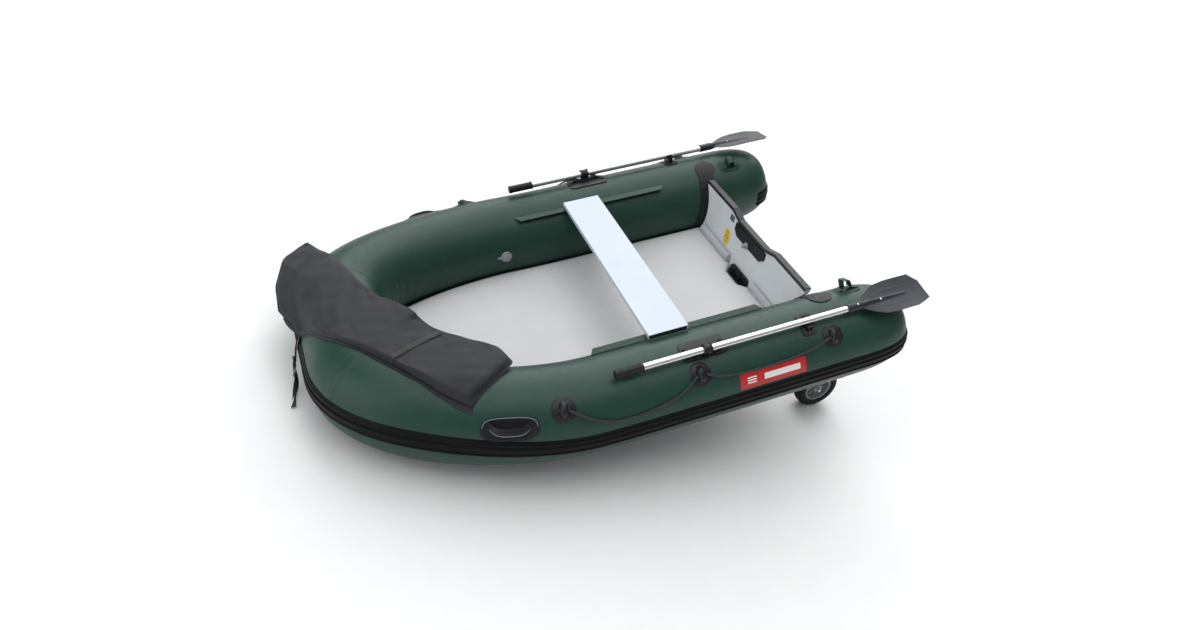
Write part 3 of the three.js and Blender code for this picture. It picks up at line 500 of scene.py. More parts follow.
def rope_material():
    """Braid: diagonal strands that cross, on a dark core."""
    made, nodes, links, principled, at = shader("rope", 0.75, sheen=0.2)
    strands = []
    for stretch in ((1, 1, 1), (-1, 1, 1)):
        mapping = nodes.new("ShaderNodeMapping")
        mapping.inputs["Scale"].default_value = stretch
        links.new(at, mapping.inputs["Vector"])
        wave = nodes.new("ShaderNodeTexWave")
        wave.bands_direction = "DIAGONAL"
        wave.inputs["Scale"].default_value = 130
        links.new(mapping.outputs["Vector"], wave.inputs["Vector"])
        strands.append(wave.outputs["Fac"])
    cross = nodes.new("ShaderNodeMath")
    cross.operation = "MAXIMUM"
    links.new(strands[0], cross.inputs[0])
    links.new(strands[1], cross.inputs[1])
    tones = [(0.2, (0.006, 0.006, 0.007)), (0.9, (0.022, 0.022, 0.026))]
    links.new(ramp(nodes, links, cross.outputs["Value"], tones), principled.inputs["Base Color"])
    links.new(bump(nodes, links, cross.outputs["Value"], 0.0008), principled.inputs["Normal"])
    return made


MATERIALS["rope"] = rope_material()

# ---- grab lines ----

LINE_DIAMETER = 0.009
# The line's route: station, angle and height over the fabric in millimetres, bow to stern.
LINE_ROUTE = [
    (1258, 46.5, 15), (1240, 46.5, 15), (1214, 44, 14), (1168, 35, 9), (1115, 26.5, 6), (1060, 21.5, 6),
    (1000, 20, 6), (930, 21, 6), (860, 24, 6), (800, 28.5, 6), (750, 35, 8), (708, 44, 14),
    (680, 46.5, 15), (652, 44.5, 14), (610, 39, 9), (550, 36, 6), (480, 34.5, 6), (400, 34, 6),
    (320, 34.5, 6), (240, 36, 6), (170, 39, 8), (112, 44.5, 14), (80, 46.5, 15), (62, 46.5, 15),
]


def catmull_rom(points, steps=6):
    """A smooth curve through points."""
    p = [np.asarray(q, float) for q in points]
    p = [2 * p[0] - p[1], *p, 2 * p[-1] - p[-2]]
    curve = []
    for a, b, c, d in zip(p, p[1:], p[2:], p[3:]):
        for i in range(steps):
            t = i / steps
            square, cube = 2 * a - 5 * b + 4 * c - d, 3 * b - a - 3 * c + d
            curve.append(0.5 * (2 * b + (c - a) * t + square * t**2 + cube * t**3))
    return np.array(curve + [p[-2]])


def tube_along(points, radius, sides=12):
    """Vertices and faces of a closed round tube along points."""
    points = np.asarray(points, float)
    tangents = unit(np.gradient(points, axis=0))
    normal = unit(np.cross(tangents[0], [0.3, 0.2, 1.0]))
    vertices = []
    for point, tangent in zip(points, tangents):
        normal = unit(normal - tangent * (normal @ tangent))
        across = np.cross(tangent, normal)
        for k in range(sides):
            a = 2 * math.pi * k / sides
            vertices.append(point + radius * (math.cos(a) * normal + math.sin(a) * across))
    faces = grid_faces(len(points), sides, close_columns=True)
    ends = [list(range(sides))[::-1], list(range(len(vertices) - sides, len(vertices)))]
    return vertices, faces + ends


def mirrored(points, side):
    return np.asarray(points, float) * np.array([1, side, 1])


def make_grab_lines():
    route = [on_tube(s / 1000, a, h / 1000) for s, a, h in LINE_ROUTE]
    for name, side in SIDES.items():
        line = mirrored(catmull_rom(route), side)
        rope = make_object(f"{name}_grab_rope", tube_along(line, LINE_DIAMETER / 2), "rope")
        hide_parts(f"{name}_grab_line")


make_grab_lines()


# ---- tubes ----

RING_SIDES = 96
BOW_SEAMS = (2.006, 2.582)
SEAMS = (0.0, *BOW_SEAMS, AXIS_LENGTH)
SEAM_HALF_WIDTH = 0.012
SEAM_HEIGHT = 0.0006
PUCKER_STATIONS = (1.28, 1.98)


def tube_stations():
    """Stations from one closed tail to the other, close at the tails, seams and puckers."""
    lobes = np.linspace(0.035, math.pi / 2, 26)
    tail = -TAIL_LENGTH * np.cos(lobes) ** (2 / TAIL_POWER)
    spans = [*tail, *np.arange(0.03, HALF_LENGTH, 0.010)]
    for seam in SEAMS:
        edges = (seam - SEAM_HALF_WIDTH - 0.0006, seam - SEAM_HALF_WIDTH, seam + SEAM_HALF_WIDTH,
                 seam + SEAM_HALF_WIDTH + 0.0006)
        spans += [edge for edge in edges if edge < HALF_LENGTH]
    half = np.unique(np.round(spans, 5))
    return np.concatenate([half, (AXIS_LENGTH - half)[::-1]])


def seam_relief(stations):
    """A glued tape stands a little proud along each seam between fabric panels."""
    distance = np.min(np.abs(stations[:, None] - np.array(SEAMS)[None]), axis=1)
    return np.where(distance <= SEAM_HALF_WIDTH + 1e-6, SEAM_HEIGHT, 0.0)


def puckers(stations, degrees):
    """Folds across the inside of each shoulder, where the fabric is bent shortest."""
    nearest = np.minimum(stations, AXIS_LENGTH - stations)[:, None]
    low, high = PUCKER_STATIONS
    along = np.clip(1 - np.abs(nearest - (low + high) / 2) / ((high - low) / 2), 0, 1) ** 0.7
    inside = np.clip(1 - np.abs(degrees[None] - 172) / 62, 0, 1) ** 0.8
    drift = 0.7 * np.sin(9 * nearest + 0.03 * degrees[None]) + 0.5 * np.sin(31 * nearest)
    folds = 0.5 + 0.5 * np.sin(2 * math.pi * nearest / 0.046 + drift * 2.2)
    depth = 0.0034 * (0.55 + 0.45 * np.sin(17 * nearest + 0.05 * degrees[None]))
    return -depth * along * inside * folds**2


def make_tubes():
    stations = tube_stations()
    degrees = np.linspace(0, 360, RING_SIDES, endpoint=False)
    closing = tail_radius(stations) / TUBE_RADIUS
    relief = seam_relief(stations)[:, None] + puckers(stations, degrees)
    a = np.radians(degrees)
    _, out, up = axis_frame(stations)
    centre = axis_point(stations)
    reach = (TUBE_RADIUS + relief) * closing[:, None]
    ring = np.cos(a)[None, :, None] * out[:, None] + np.sin(a)[None, :, None] * up[:, None]
    vertices = (centre[:, None] + reach[..., None] * ring).reshape(-1, 3)
    faces = grid_faces(len(stations), RING_SIDES, close_columns=True)
    last = len(vertices) - RING_SIDES
    faces += [list(range(RING_SIDES)), list(range(last, last + RING_SIDES))]
    tubes = make_object("hull_tubes", (vertices, faces), "tube_fabric")
    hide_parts("port_tube", "starboard_tube", "bow_tube", "port_baffle", "starboard_baffle")


make_tubes()


# ---- rubbing strake ----

STRAKE_HALF_WIDTH = 0.041
STRAKE_WEB = 0.0035
STRAKE_RIBS = ((-0.030, 0.0075), (0.002, 0.0095), (0.026, 0.0075))
RIB_HALF_WIDTH = 0.006


def strake_angle(station):
    """The strake climbs from a little under the tube's widest line aft to above it at the bow."""
    nearest = np.minimum(station, AXIS_LENGTH - station)
    t = np.clip((nearest - 1.1) / 0.7, 0, 1)
    return -3 + 15 * t * t * (3 - 2 * t)


def strake_path():
    """Points round the outside of the tubes and their tails, with the surface's normal at each."""
    around = np.linspace(-0.62 * math.pi / 2, math.pi / 2, 34)[:-1]
    points, normals, closings = [], [], []
    for a in around:
        reach = math.copysign(abs(math.sin(a)) ** (2 / TAIL_POWER), a)
        back = math.cos(a) ** (2 / TAIL_POWER)
        points.append((STRAIGHT_AFT - TAIL_LENGTH * back, HALF_BEAM + TUBE_RADIUS * reach))
        steep = math.copysign(abs(reach) ** (TAIL_POWER - 1) / TUBE_RADIUS, reach)
        normals.append((-(back ** (TAIL_POWER - 1)) / TAIL_LENGTH, steep))
        closings.append(abs(reach))
    tail = np.array([[x, y, AXIS_HEIGHT - 0.010] for x, y in points])
    tail_normals = unit(np.array([[nx, ny, 0.0] for nx, ny in normals]))
    stations = np.arange(0.0, HALF_LENGTH, 0.016)
    side = on_tube(stations, strake_angle(stations))
    side_normals = unit(side - axis_point(stations))
    path = np.vstack([tail, side])
    path_normals = np.vstack([tail_normals, side_normals])
    curved = np.concatenate([np.array(closings) ** 3, np.ones(len(side))])
    mirror = np.array([1, -1, 1])
    return (
        np.vstack([path, path[::-1] * mirror]),
        np.vstack([path_normals, path_normals[::-1] * mirror]),
        np.concatenate([curved, curved[::-1]]),
    )


def strake_profile():
    """Distance across the band and height over the fabric, from the lower edge to the upper."""
    across = np.linspace(-STRAKE_HALF_WIDTH, STRAKE_HALF_WIDTH, 61)
    height = np.full_like(across, STRAKE_WEB)
    for centre, crest in STRAKE_RIBS:
        near = np.clip(1 - np.abs(across - centre) / RIB_HALF_WIDTH, 0, 1)
        height = np.maximum(height, STRAKE_WEB + (crest - STRAKE_WEB) * np.minimum(1, near * 1.8) ** 0.6)
    edge = np.minimum(across + STRAKE_HALF_WIDTH, STRAKE_HALF_WIDTH - across)
    return across, np.minimum(height, 0.0008 + edge * 1.2)


def make_strake():
    points, normals, curved = strake_path()
    tangents = unit(np.gradient(points, axis=0))
    upward = unit(np.cross(tangents, normals))
    upward *= np.sign(upward[:, 2:3])
    across, height = strake_profile()
    sag = TUBE_RADIUS - np.sqrt(TUBE_RADIUS**2 - across**2)
    lift = height[None] - sag[None] * curved[:, None]
    top = points[:, None] + upward[:, None] * across[None, :, None] + normals[:, None] * lift[..., None]
    under = -0.002 - sag[None, ::-1] * curved[:, None]
    back = points[:, None] + upward[:, None] * across[None, ::-1, None]
    back = back + normals[:, None] * under[..., None]
    rows = np.concatenate([top, back], axis=1)
    count = rows.shape[1]
    vertices = rows.reshape(-1, 3)
    faces = grid_faces(len(points), count, close_columns=True)
    faces += [list(range(count))[::-1], list(range(len(vertices) - count, len(vertices)))]
    band = make_object("rubber_strake", (vertices, faces), "strake_rubber", sharp=60)
    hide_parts("rubbing_strake")


make_strake()


# ---- air deck ----

DECK_GAP = 0.004
DECK_THICKNESS = 0.060
NOTCH_HALF_WIDTH = 0.106
NOTCH_DEPTH = 0.044
DECK_EDGE_ROUND = 0.022


def deck_half_width(x):
    """The deck's half width, inside the tubes, at x."""
    stations = np.linspace(0, HALF_LENGTH - BOW_HALF_FLAT, 400)
    _, out, _ = axis_frame(stations)
    reach = math.sqrt(TUBE_RADIUS**2 - AXIS_HEIGHT**2) + DECK_GAP
    inner = axis_point(stations) - reach * out
    return np.interp(x, inner[:, 0], inner[:, 1]), float(inner[-1, 0])


def make_deck():
    columns, rows = 160, 90
    _, fore = deck_half_width(0.0)
    u = np.linspace(0, 1, columns)
    v = np.sin(np.linspace(-math.pi / 2, math.pi / 2, rows))
    top, under = [], []
    for along in u:
        for across in v:
            widest = 0.434
            notch = NOTCH_DEPTH * np.clip((NOTCH_HALF_WIDTH - abs(across) * widest) / 0.05, 0, 1)
            aft = 0.003 + notch
            x = aft + (fore - aft) * along
            half, _ = deck_half_width(x)
            y = half * across
            inset = min(half - abs(y), x - aft, fore - x)
            rounding = max(1 - inset / DECK_EDGE_ROUND, 0)
            drop = DECK_EDGE_ROUND * 0.55 * (1 - math.sqrt(max(1 - rounding**2, 0)))
            top.append((x, y, float(rise(x)) - drop))
            under.append((x, y, float(rise(x)) - DECK_THICKNESS + drop))
    deck = make_object("air_deck_fabric", (top + under, slab_faces(columns, rows)), "deck_fabric")
    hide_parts("air_deck")


make_deck()


# ---- eyelets and handles ----

def add_piece(name, solid, material, node=None, body="hull", edge=0.0, place=HULL, sharp=40):
    """A finished piece, which may stand for a CAD node."""
    piece = make_object(name, solid, material, body, place, sharp, edge)
    if node:
        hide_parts(node)
    return piece


def make_eyelets():
    """An oval foot, a domed hood with a rounded crest, and a bush each side where the line goes in."""
    foot = [(0, 6.5), (0.6, 6), (0.68, 3.6), (0.9, 3.0), (0.97, 2.2), (1.0, 0.4)]
    hood = [(0, 27.5), (0.3, 27), (0.55, 24.5), (0.75, 18), (0.88, 11), (0.97, 6), (1.0, 4)]
    bush = [(0.0052, -0.003), (0.0078, -0.003), (0.0088, -0.001), (0.0078, 0.002), (0.0055, 0.002)]
    to_along = Matrix.Rotation(math.pi / 2, 4, "Y")
    for name, side in SIDES.items():
        for number, station in enumerate(EYELET_STATIONS, 1):
            frame = surface_frame(station, EYELET_ANGLE)
            bushes = [
                placed(lathe(bush, 20, ring=True), frame @ Matrix.Translation((x, 0, 0.015)) @ to_along)
                for x in (-0.0175, 0.0175)
            ]
            bushes = [(mirrored(points, side), faces) for points, faces in bushes]
            solid = combine(
                dome(station, EYELET_ANGLE, (0.046, 0.050), millimetres(foot), 2.1, side),
                dome(station, EYELET_ANGLE, (0.019, 0.034), millimetres(hood), 2.5, side),
                *bushes,
            )
            add_piece(f"{name}_eyelet_moulding_{number}", solid, "fitting_plastic",
                      f"{name}_eyelet_{number}")


def millimetres(profile):
    return [(share, height / 1000) for share, height in profile]


def surface_path(station, degrees, points, side=1):
    """Points given as (along, across, height) from a place on the fabric, across being outboard."""
    x, y, h = np.asarray(points, float).T
    return mirrored(on_tube(station + x, degrees - np.degrees(y / TUBE_RADIUS), h), side)


def surface_across(station, degrees, points, side=1):
    points = np.asarray(points, float)
    step = np.array([0, 0.002, 0])
    ahead, behind = (surface_path(station, degrees, points + k * step, side) for k in (1, -1))
    return ahead - behind


HANDLE = {"station": 1.429, "angle": 31.0, "half": (0.100, 0.046)}


def make_handles():
    """A recessed oval base with a raised rim, and a strap with a light bead along its lower edge. A light grey
    line round only the lit upper half of the rim is a painted highlight.
    """
    base = [(0, 1.8), (0.78, 1.8), (0.84, 2.6), (0.89, 6.6), (0.95, 7.2), (0.985, 5.5), (1.0, 0.4)]
    tab = millimetres([(0, 7), (0.8, 6.4), (1, 1.5)])
    station, angle = HANDLE["station"], HANDLE["angle"]
    for name, side in SIDES.items():
        plate = dome(station, angle, HANDLE["half"], millimetres(base), 3.2, side, sides=72)
        t = np.linspace(-1, 1, 41)
        lift = 0.004 + 0.028 * (1 - np.abs(t) ** 3.2)
        hang = -0.016 + 0.018 * (1 - t**4)
        arch = np.stack([0.070 * t, hang, lift], -1)
        points = surface_path(station, angle, arch, side)
        strap = ribbon(points, surface_across(station, angle, arch, side), 0.013, 0.0032)
        tabs = [dome(station, angle, (0.014, 0.017), tab, 4, side, (x, -0.014)) for x in (-0.072, 0.072)]
        add_piece(f"{name}_handle_moulding", combine(plate, strap, *tabs), "pad_rubber",
                  f"{name}_carry_handle")
        # The light bead along the strap's lower edge.
        lower = surface_path(station, angle, arch + np.array([0, 0.0130, 0.0008]), side)
        # Painted highlight: a light grey line round the rim's lit upper half only, with none on the shaded lower
        # half.
        turns = np.linspace(1.02 * math.pi, 1.98 * math.pi, 60)
        c, s = np.cos(turns), np.sin(turns)
        rim = np.stack([
            0.095 * np.sign(c) * np.abs(c) ** (2 / 3.2), 0.0437 * np.sign(s) * np.abs(s) ** (2 / 3.2),
            np.full(60, 0.0073),
        ], -1)
        piping = combine(
            tube_along(lower, 0.0014, 8), tube_along(surface_path(station, angle, rim, side), 0.0013, 8)
        )
        add_piece(f"{name}_handle_edge_bead_and_painted_highlight", piping, "piping")


make_eyelets()
make_handles()


# ---- valves ----

VALVE_STATION = 1.138
VALVE_ANGLE = 175


def make_valves():
    """A fabric flange and a bright ring with its tab on the hull; a cross and grips on the cap.
    The grips stop short of the cap's hinge, so that they clear the ring when it opens."""
    rim = millimetres([(0, 1.0), (0.9, 1.0), (1, 0.2)])
    ring = [(0.0215, 0.0046), (0.0235, 0.0068), (0.0262, 0.0060), (0.0272, 0.0034), (0.0272, 0.0010),
            (0.0215, 0.0010)]
    outline = [(0.024, -0.007), (0.040, -0.005), (0.046, 0), (0.040, 0.005), (0.024, 0.007)]
    cross = [block((0, 0, 0.0154), half) for half in ((0.0125, 0.0016, 0.0012), (0.0016, 0.0125, 0.0011))]
    grip = block((0.0168, 0, 0.0103), (0.0011, 0.0016, 0.0026))
    grips = [placed(grip, Matrix.Rotation(turn * math.pi / 8, 4, "Z")) for turn in range(-5, 6)]
    for name, side in SIDES.items():
        frame = surface_frame(VALVE_STATION, VALVE_ANGLE, side)
        flange = dome(VALVE_STATION, VALVE_ANGLE, (0.036, 0.036), rim, 2, side)
        add_piece(f"{name}_valve_flange", flange, "tape_fabric")
        bezel = combine(lathe(ring, 40, ring=True), prism(outline, 0.0012, 0.0032))
        add_piece(f"{name}_valve_ring", placed(bezel, frame), "valve_plastic")
        add_piece(f"{name}_valve_cap_ribs", placed(combine(*cross, *grips), frame), "valve_plastic",
                  body=f"{name}_cap")


make_valves()


# ---- oars ----

OAR_STATION = OAR_X - STRAIGHT_AFT
GRIP_START, GRIP_END = 0.273, 0.391
BLADE_ROOT, BLADE_TIP = -0.700, -1.010
SLEEVE_START, SLEEVE_END = -0.640, -0.712
BLADE_ROLL = math.radians(8)
CLIP_STATION = 0.085 - STRAIGHT_AFT


def oar_place(side):
    """The oar's frame: X along the shaft towards the grip, Z away from the tube."""
    return surface_frame(OAR_STATION, OAR_ANGLE, side) @ Matrix.Translation((0, 0, OAR_HEIGHT))


def grip_solid():
    """A rubber sleeve with finger ribs, a collar at each end and a domed butt."""
    collar = ((0.0144, 0), (0.0175, 0), (0.0186, 0.002), (0.0186, 0.007))
    butt = ((0.0180, 0.013), (0.0186, 0.006), (0.0172, 0.0015), (0.0145, 0), (0, 0))
    profile = [(radius, GRIP_START + past) for radius, past in collar]
    for height in np.linspace(GRIP_START + 0.009, GRIP_END - 0.016, 78):
        wave = 0.5 + 0.5 * math.cos(2 * math.pi * (height - GRIP_START) / 0.0098)
        profile.append((0.0163 + 0.0015 * wave**0.6, float(height)))
    profile += [(radius, GRIP_END - short) for radius, short in butt]
    return placed(lathe(profile, 28), Matrix.Rotation(math.pi / 2, 4, "Y"))


def blade_solid():
    """A cupped plate with a cut-off tip, a tapering spine on both faces, and its sleeve."""
    stations = np.array([-0.700, -0.716, -0.740, -0.770, -0.800, -0.850, -0.940, -0.976, -1.010])
    outboard = np.array([0.016, 0.024, 0.044, 0.062, 0.075, 0.080, 0.080, 0.068, 0.054])
    inboard = np.array([0.016, 0.024, 0.044, 0.062, 0.075, 0.080, 0.080, 0.080, 0.040])
    columns, rows = 74, 41
    x = np.linspace(BLADE_ROOT, BLADE_TIP, columns)
    up = np.interp(-x, -stations, outboard)
    down = np.interp(-x, -stations, inboard)
    v = np.linspace(-1, 1, rows)
    y = np.where(v[None] > 0, v[None] * up[:, None], v[None] * down[:, None])
    t = (x - BLADE_ROOT) / (BLADE_TIP - BLADE_ROOT)
    cup = 0.010 * (y / 0.08) ** 2 * np.sin(math.pi * np.clip(t, 0, 1) * 0.75)[:, None]
    half = 0.0015 + 0.0013 * (1 - np.abs(v[None]) ** 3) * np.ones_like(y)
    taper = np.clip(1 - t / 0.72, 0, 1)[:, None]
    spine = (0.003 + 0.009 * taper) * np.exp(-((y / (0.0045 + 0.005 * taper)) ** 2)) * (taper > 0)
    fade = np.sin(math.pi * np.clip((t - 0.15) / 0.75, 0, 1))[:, None]
    for line in (0.45, -0.45):
        spine = spine + 0.0009 * np.exp(-(((v[None] - line) / 0.05) ** 2)) * fade
    xs = np.broadcast_to(x[:, None], y.shape)
    layers = [np.stack([xs, y, cup + k * half + k * spine], -1).reshape(-1, 3) for k in (1, -1)]
    plate = (np.concatenate(layers), slab_faces(columns, rows))
    plate = placed(plate, Matrix.Rotation(BLADE_ROLL, 4, "X"))
    mouth = ((0.0144, 0), (0.0182, 0), (0.0188, 0.003), (0.0178, 0.008))
    root = ((0.0175, -0.012), (0.0160, 0), (0.0095, 0.030), (0, 0.034))
    sleeve = [(radius, SLEEVE_START - past) for radius, past in mouth]
    sleeve += [(radius, SLEEVE_END - past) for radius, past in root]
    inner = [(0, -0.704), (0.0144, -0.704)]
    return combine(plate, placed(lathe(inner + sleeve, 28), Matrix.Rotation(math.pi / 2, 4, "Y")))


def make_oars():
    to_along = Matrix.Rotation(math.pi / 2, 4, "Y")
    for name, side in SIDES.items():
        place = HULL @ oar_place(side)
        body = f"{name}_oar"
        add_piece(f"{name}_oar_finger_grip", grip_solid(), "grip_rubber", f"{name}_oar_grip", body,
                  place=place)
        add_piece(f"{name}_oar_cupped_blade", blade_solid(), "blade_plastic", f"{name}_oar_blade", body,
                  place=place)
        rim = [(0.0150, -0.002), (0.0222, -0.002), (0.0232, 0), (0.0222, 0.002), (0.0150, 0.002)]
        rims = [
            placed(lathe(rim, 28, ring=True), Matrix.Translation((x, 0, 0)) @ to_along)
            for x in (-0.0155, 0.0155)
        ]
        lug = block((0, 0.021, 0.004), (0.006, 0.004, 0.007))
        add_piece(f"{name}_collar_rims", combine(*rims, lug), "fitting_plastic", body=body,
                  place=place, edge=0.0006)
        rivet = lathe([(0.0048, 0.0085), (0.0048, 0.0140), (0.0032, 0.0155), (0, 0.0158)], 16)
        rivet = placed(rivet, Matrix.Translation((-0.800, 0, -0.0045)))
        add_piece(f"{name}_blade_rivet", rivet, "label_white", body=body, place=place)


def make_oar_mounts():
    """Ribs and bolts on the oarlock bases, clear of the swinging collar, and the clips' webs."""
    for name, side in SIDES.items():
        lock = HULL @ surface_frame(OAR_STATION, OAR_ANGLE, side)
        ribs = [block((k * x, 0, 0.0095), (0.002, 0.0185, height)) for k in (-1, 1)
                for x, height in ((0.038, 0.0070), (0.050, 0.0055), (0.062, 0.0042))]
        ribs += [
            block((x, y, 0.0115), (0.015, 0.0018, 0.0045)) for y in (-0.0185, 0.0185) for x in (-0.051, 0.051)
        ]
        add_piece(f"{name}_oarlock_ribs", combine(*ribs), "fitting_plastic",
                  place=lock, edge=0.0007)
        bolt = [(0.0065, 0.001), (0.0065, 0.0075), (0.0052, 0.0095), (0, 0.0100)]
        bolts = []
        for x, y in ((-0.080, -0.012), (0.080, -0.012), (-0.080, 0.024), (0.080, 0.024)):
            seat = surface_frame(OAR_STATION + x, 78 - math.degrees(y / TUBE_RADIUS), side)
            bolts.append(placed(lathe(bolt, 6), seat))
        add_piece(f"{name}_oarlock_bolts", combine(*bolts), "fitting_plastic",
                  sharp=25)
        clip = HULL @ surface_frame(CLIP_STATION, OAR_ANGLE, side)
        webs = [block((x, -0.0270, 0.0125), (0.0018, 0.0060, 0.0095)) for x in (-0.0075, 0.0075)]
        webs += [block((x, 0.030, 0.0095), (0.0018, 0.0050, 0.0060)) for x in (-0.0075, 0.0075)]
        add_piece(f"{name}_clip_webs", combine(*webs), "fitting_plastic",
                  place=clip, edge=0.0006)


make_oars()
make_oar_mounts()


# ---- label, stern loops and patches ----

LABEL = {"station": 0.370, "angle": 22.5, "half": (0.150, 0.034)}


def make_labels():
    """A plain red panel with white bars, and no lettering."""
    for name, side in SIDES.items():
        station, angle, half = LABEL["station"], LABEL["angle"], LABEL["half"]
        add_piece(f"{name}_side_panel", sticker(station, angle, *half, -0.0005, 0.0008, side), "label_red")
        bars = [sticker(station, angle, 0.082, 0.013, 0.0002, 0.0011, side, (-0.040, 0.0))]
        bars += [
            sticker(station, angle, 0.020, 0.0028, 0.0002, 0.0011, side, (0.098, y)) for y in (-0.011, 0.0, 0.011)
        ]
        add_piece(f"{name}_side_panel_bars", combine(*bars), "label_white")


def make_stern_loops():
    """A standing loop of tube fabric on each tail, on a glued foot."""
    station, angle = -0.105, 112
    for name, side in SIDES.items():
        t = np.linspace(-1, 1, 31)
        along = 0.026 * t * (1 - 0.3 * t**2) + 0.010 * (1 - t**2)
        arch = np.stack([along, 0 * t, 0.003 + 0.042 * np.sqrt(1 - 0.97 * t**4)], -1)
        arch = np.vstack([[(-0.048, 0, 0.002)], arch, [(0.048, 0, 0.002)]])
        across = surface_across(station, angle, arch, side)
        loop = ribbon(surface_path(station, angle, arch, side), across, 0.020, 0.0018)
        foot = dome(station, angle, (0.062, 0.040), millimetres([(0, 2.0), (0.94, 1.6), (1, 0.2)]), 3, side)
        add_piece(f"{name}_stern_loop", combine(loop, foot), "tape_fabric")


make_labels()
make_stern_loops()


# ---- transom fittings ----

LEAN = Matrix.Rotation(-RAKE, 4, "Y")


def board_face(y, z, x=0.0):
    """A frame on the transom's front: X to port, Y up the board, Z forward."""
    m = Matrix(((0, 0, 1, x), (1, 0, 0, y), (0, 1, 0, z), (0, 0, 0, 1)))
    return HULL @ LEAN @ m


def make_transom_details():
    oval = prism(superellipse(0.025, 0.043, 2.6, 40), -0.0006, 0.0009)
    add_piece("transom_sticker", oval, "label_yellow", place=board_face(-0.191, 0.091))
    mark = combine(
        lathe([(0.0085, 0.0006), (0.0125, 0.0006), (0.0125, 0.0012), (0.0085, 0.0012)], 28, ring=True),
        block((0, 0.024, 0.0009), (0.012, 0.0014, 0.0003)),
        block((0, -0.024, 0.0009), (0.012, 0.0014, 0.0003)),
    )
    add_piece("transom_sticker_mark", mark, "label_grey", place=board_face(-0.191, 0.091))
    plate = prism(superellipse(0.019, 0.016, 8, 40), -0.0006, 0.0008)
    add_piece("transom_plate", plate, "label_grey", place=board_face(-0.187, 0.200))
    knob = [(0.017, -0.002), (0.017, 0.003), (0.012, 0.005), (0.0095, 0.012), (0.0105, 0.018),
            (0.0080, 0.022), (0, 0.0235)]
    add_piece("pad_screw", lathe(knob, 28), "valve_plastic", place=board_face(-0.013, 0.156, 0.0084))
    head = lathe([(0.0045, -0.001), (0.0045, 0.0015), (0.0030, 0.0027), (0, 0.0030)], 14)
    heads = [
        placed(head, Matrix.Translation((0, side * y, 0)))
        for y in (0.135, 0.200, 0.265, 0.330, 0.380) for side in (-1, 1)
    ]
    bar = Matrix(((0, 0, 1, 0.024), (1, 0, 0, 0), (0, 1, 0, 0.013), (0, 0, 0, 1)))
    turned = [(np.stack([p[:, 1], p[:, 0], p[:, 2]], -1), f) for p, f in heads]
    add_piece("bracket_screws", combine(*turned), "zinc_steel", place=HULL @ bar)
    bolt = lathe([(0.0055, -0.003), (0.0055, 0.003), (0.0035, 0.0045), (0, 0.0048)], 18)
    outer = [
        placed(bolt, Matrix.Translation((x, z, 0)))
        for x in (-0.09, -0.03, 0.03, 0.09) for z in (-0.012, 0.018)
    ]
    back = Matrix(((0, 0, -1, -0.0386), (-1, 0, 0, 0), (0, 1, 0, 0.178), (0, 0, 0, 1)))
    add_piece("pad_bolts", combine(*outer), "zinc_steel", place=HULL @ LEAN @ back)


make_transom_details()


# ---- wheels ----

# One side of the tyre's section, as (radius, half width), from its bead out to its tread.
TYRE_WALL = [
    (0.0704, 0.024), (0.076, 0.029), (0.082, 0.032), (0.090, 0.0322), (0.098, 0.030), (0.104, 0.026),
    (0.1075, 0.021), (0.1092, 0.016), (0.110, 0.010),
]
TYRE_SECTION = [(r, -h) for r, h in TYRE_WALL] + [(TYRE_WALL[-1][0], 0.0)] + TYRE_WALL[::-1]


def wheel_place(name, side):
    low, high = (Vector(corner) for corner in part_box(f"{name}_wheel_tyre"))
    middle = (low + high) / 2
    across = Matrix.Rotation(-math.pi / 2 * side, 4, "X")
    return Matrix.Translation(middle) @ across


def tyre_solid():
    """Chevron grooves across the tread and a line round each wall."""
    sides, lugs = 240, 40
    section = np.array(TYRE_SECTION)
    dense = np.linspace(0, len(section) - 1, 73)
    radius = np.interp(dense, np.arange(len(section)), section[:, 0])
    height = np.interp(dense, np.arange(len(section)), section[:, 1])
    turns = np.linspace(0, 2 * math.pi, sides, endpoint=False)
    phase = lugs * turns[None] / (2 * math.pi) + np.abs(height[:, None]) / 0.016
    cut = np.clip((np.abs((phase % 1) - 0.5) - 0.26) / 0.10, 0, 1)
    tread = np.clip((radius[:, None] - 0.0985) / 0.004, 0, 1)
    centre = np.clip(1 - np.abs(height[:, None]) / 0.0035, 0, 1)
    wall = np.clip(1 - np.abs(radius[:, None] - 0.088) / 0.0018, 0, 1)
    r = radius[:, None] - 0.0042 * tread * np.maximum(cut, np.clip(centre * 2, 0, 1))
    h = height[:, None] + np.sign(height[:, None]) * 0.0009 * wall
    vertices = np.stack([r * np.cos(turns), r * np.sin(turns), np.broadcast_to(h, r.shape)], -1)
    return vertices.reshape(-1, 3), grid_faces(len(dense), sides, close_rows=True, close_columns=True)


def make_wheels():
    for name, side in SIDES.items():
        place = wheel_place(name, side)
        body = f"{name}_wheel"
        add_piece(f"{name}_treaded_tyre", tyre_solid(), "tyre", f"{name}_wheel_tyre", body,
                  place=place, sharp=50)
        spokes = []
        for turn in range(8):
            for face in (-1, 1):
                spoke = block((0.040, 0, face * 0.0095), (0.018, 0.0022, 0.0055))
                spokes.append(placed(spoke, Matrix.Rotation(turn * math.pi / 4, 4, "Z")))
        for face in (-1, 1):
            corners = ((0.030, 0.004), (0.030, 0.0125), (0.033, 0.0125), (0.033, 0.004))
            ring = [(r, face * h) for r, h in corners]
            spokes.append(lathe(ring, 40, ring=True))
        add_piece(f"{name}_rim_spokes", combine(*spokes), "rim_plastic", body=body,
                  place=place, edge=0.0008)
        nut = combine(
            lathe([(0.0140, 0.0225), (0.0140, 0.0238), (0, 0.0238)], 28),
            lathe([(0.0115, 0.0230), (0.0115, 0.0300), (0.0100, 0.0315), (0, 0.0315)], 6),
        )
        add_piece(f"{name}_axle_nut", nut, "zinc_steel", body=f"{name}_leg",
                  place=place, sharp=25)


make_wheels()


# ---- carry bag ----

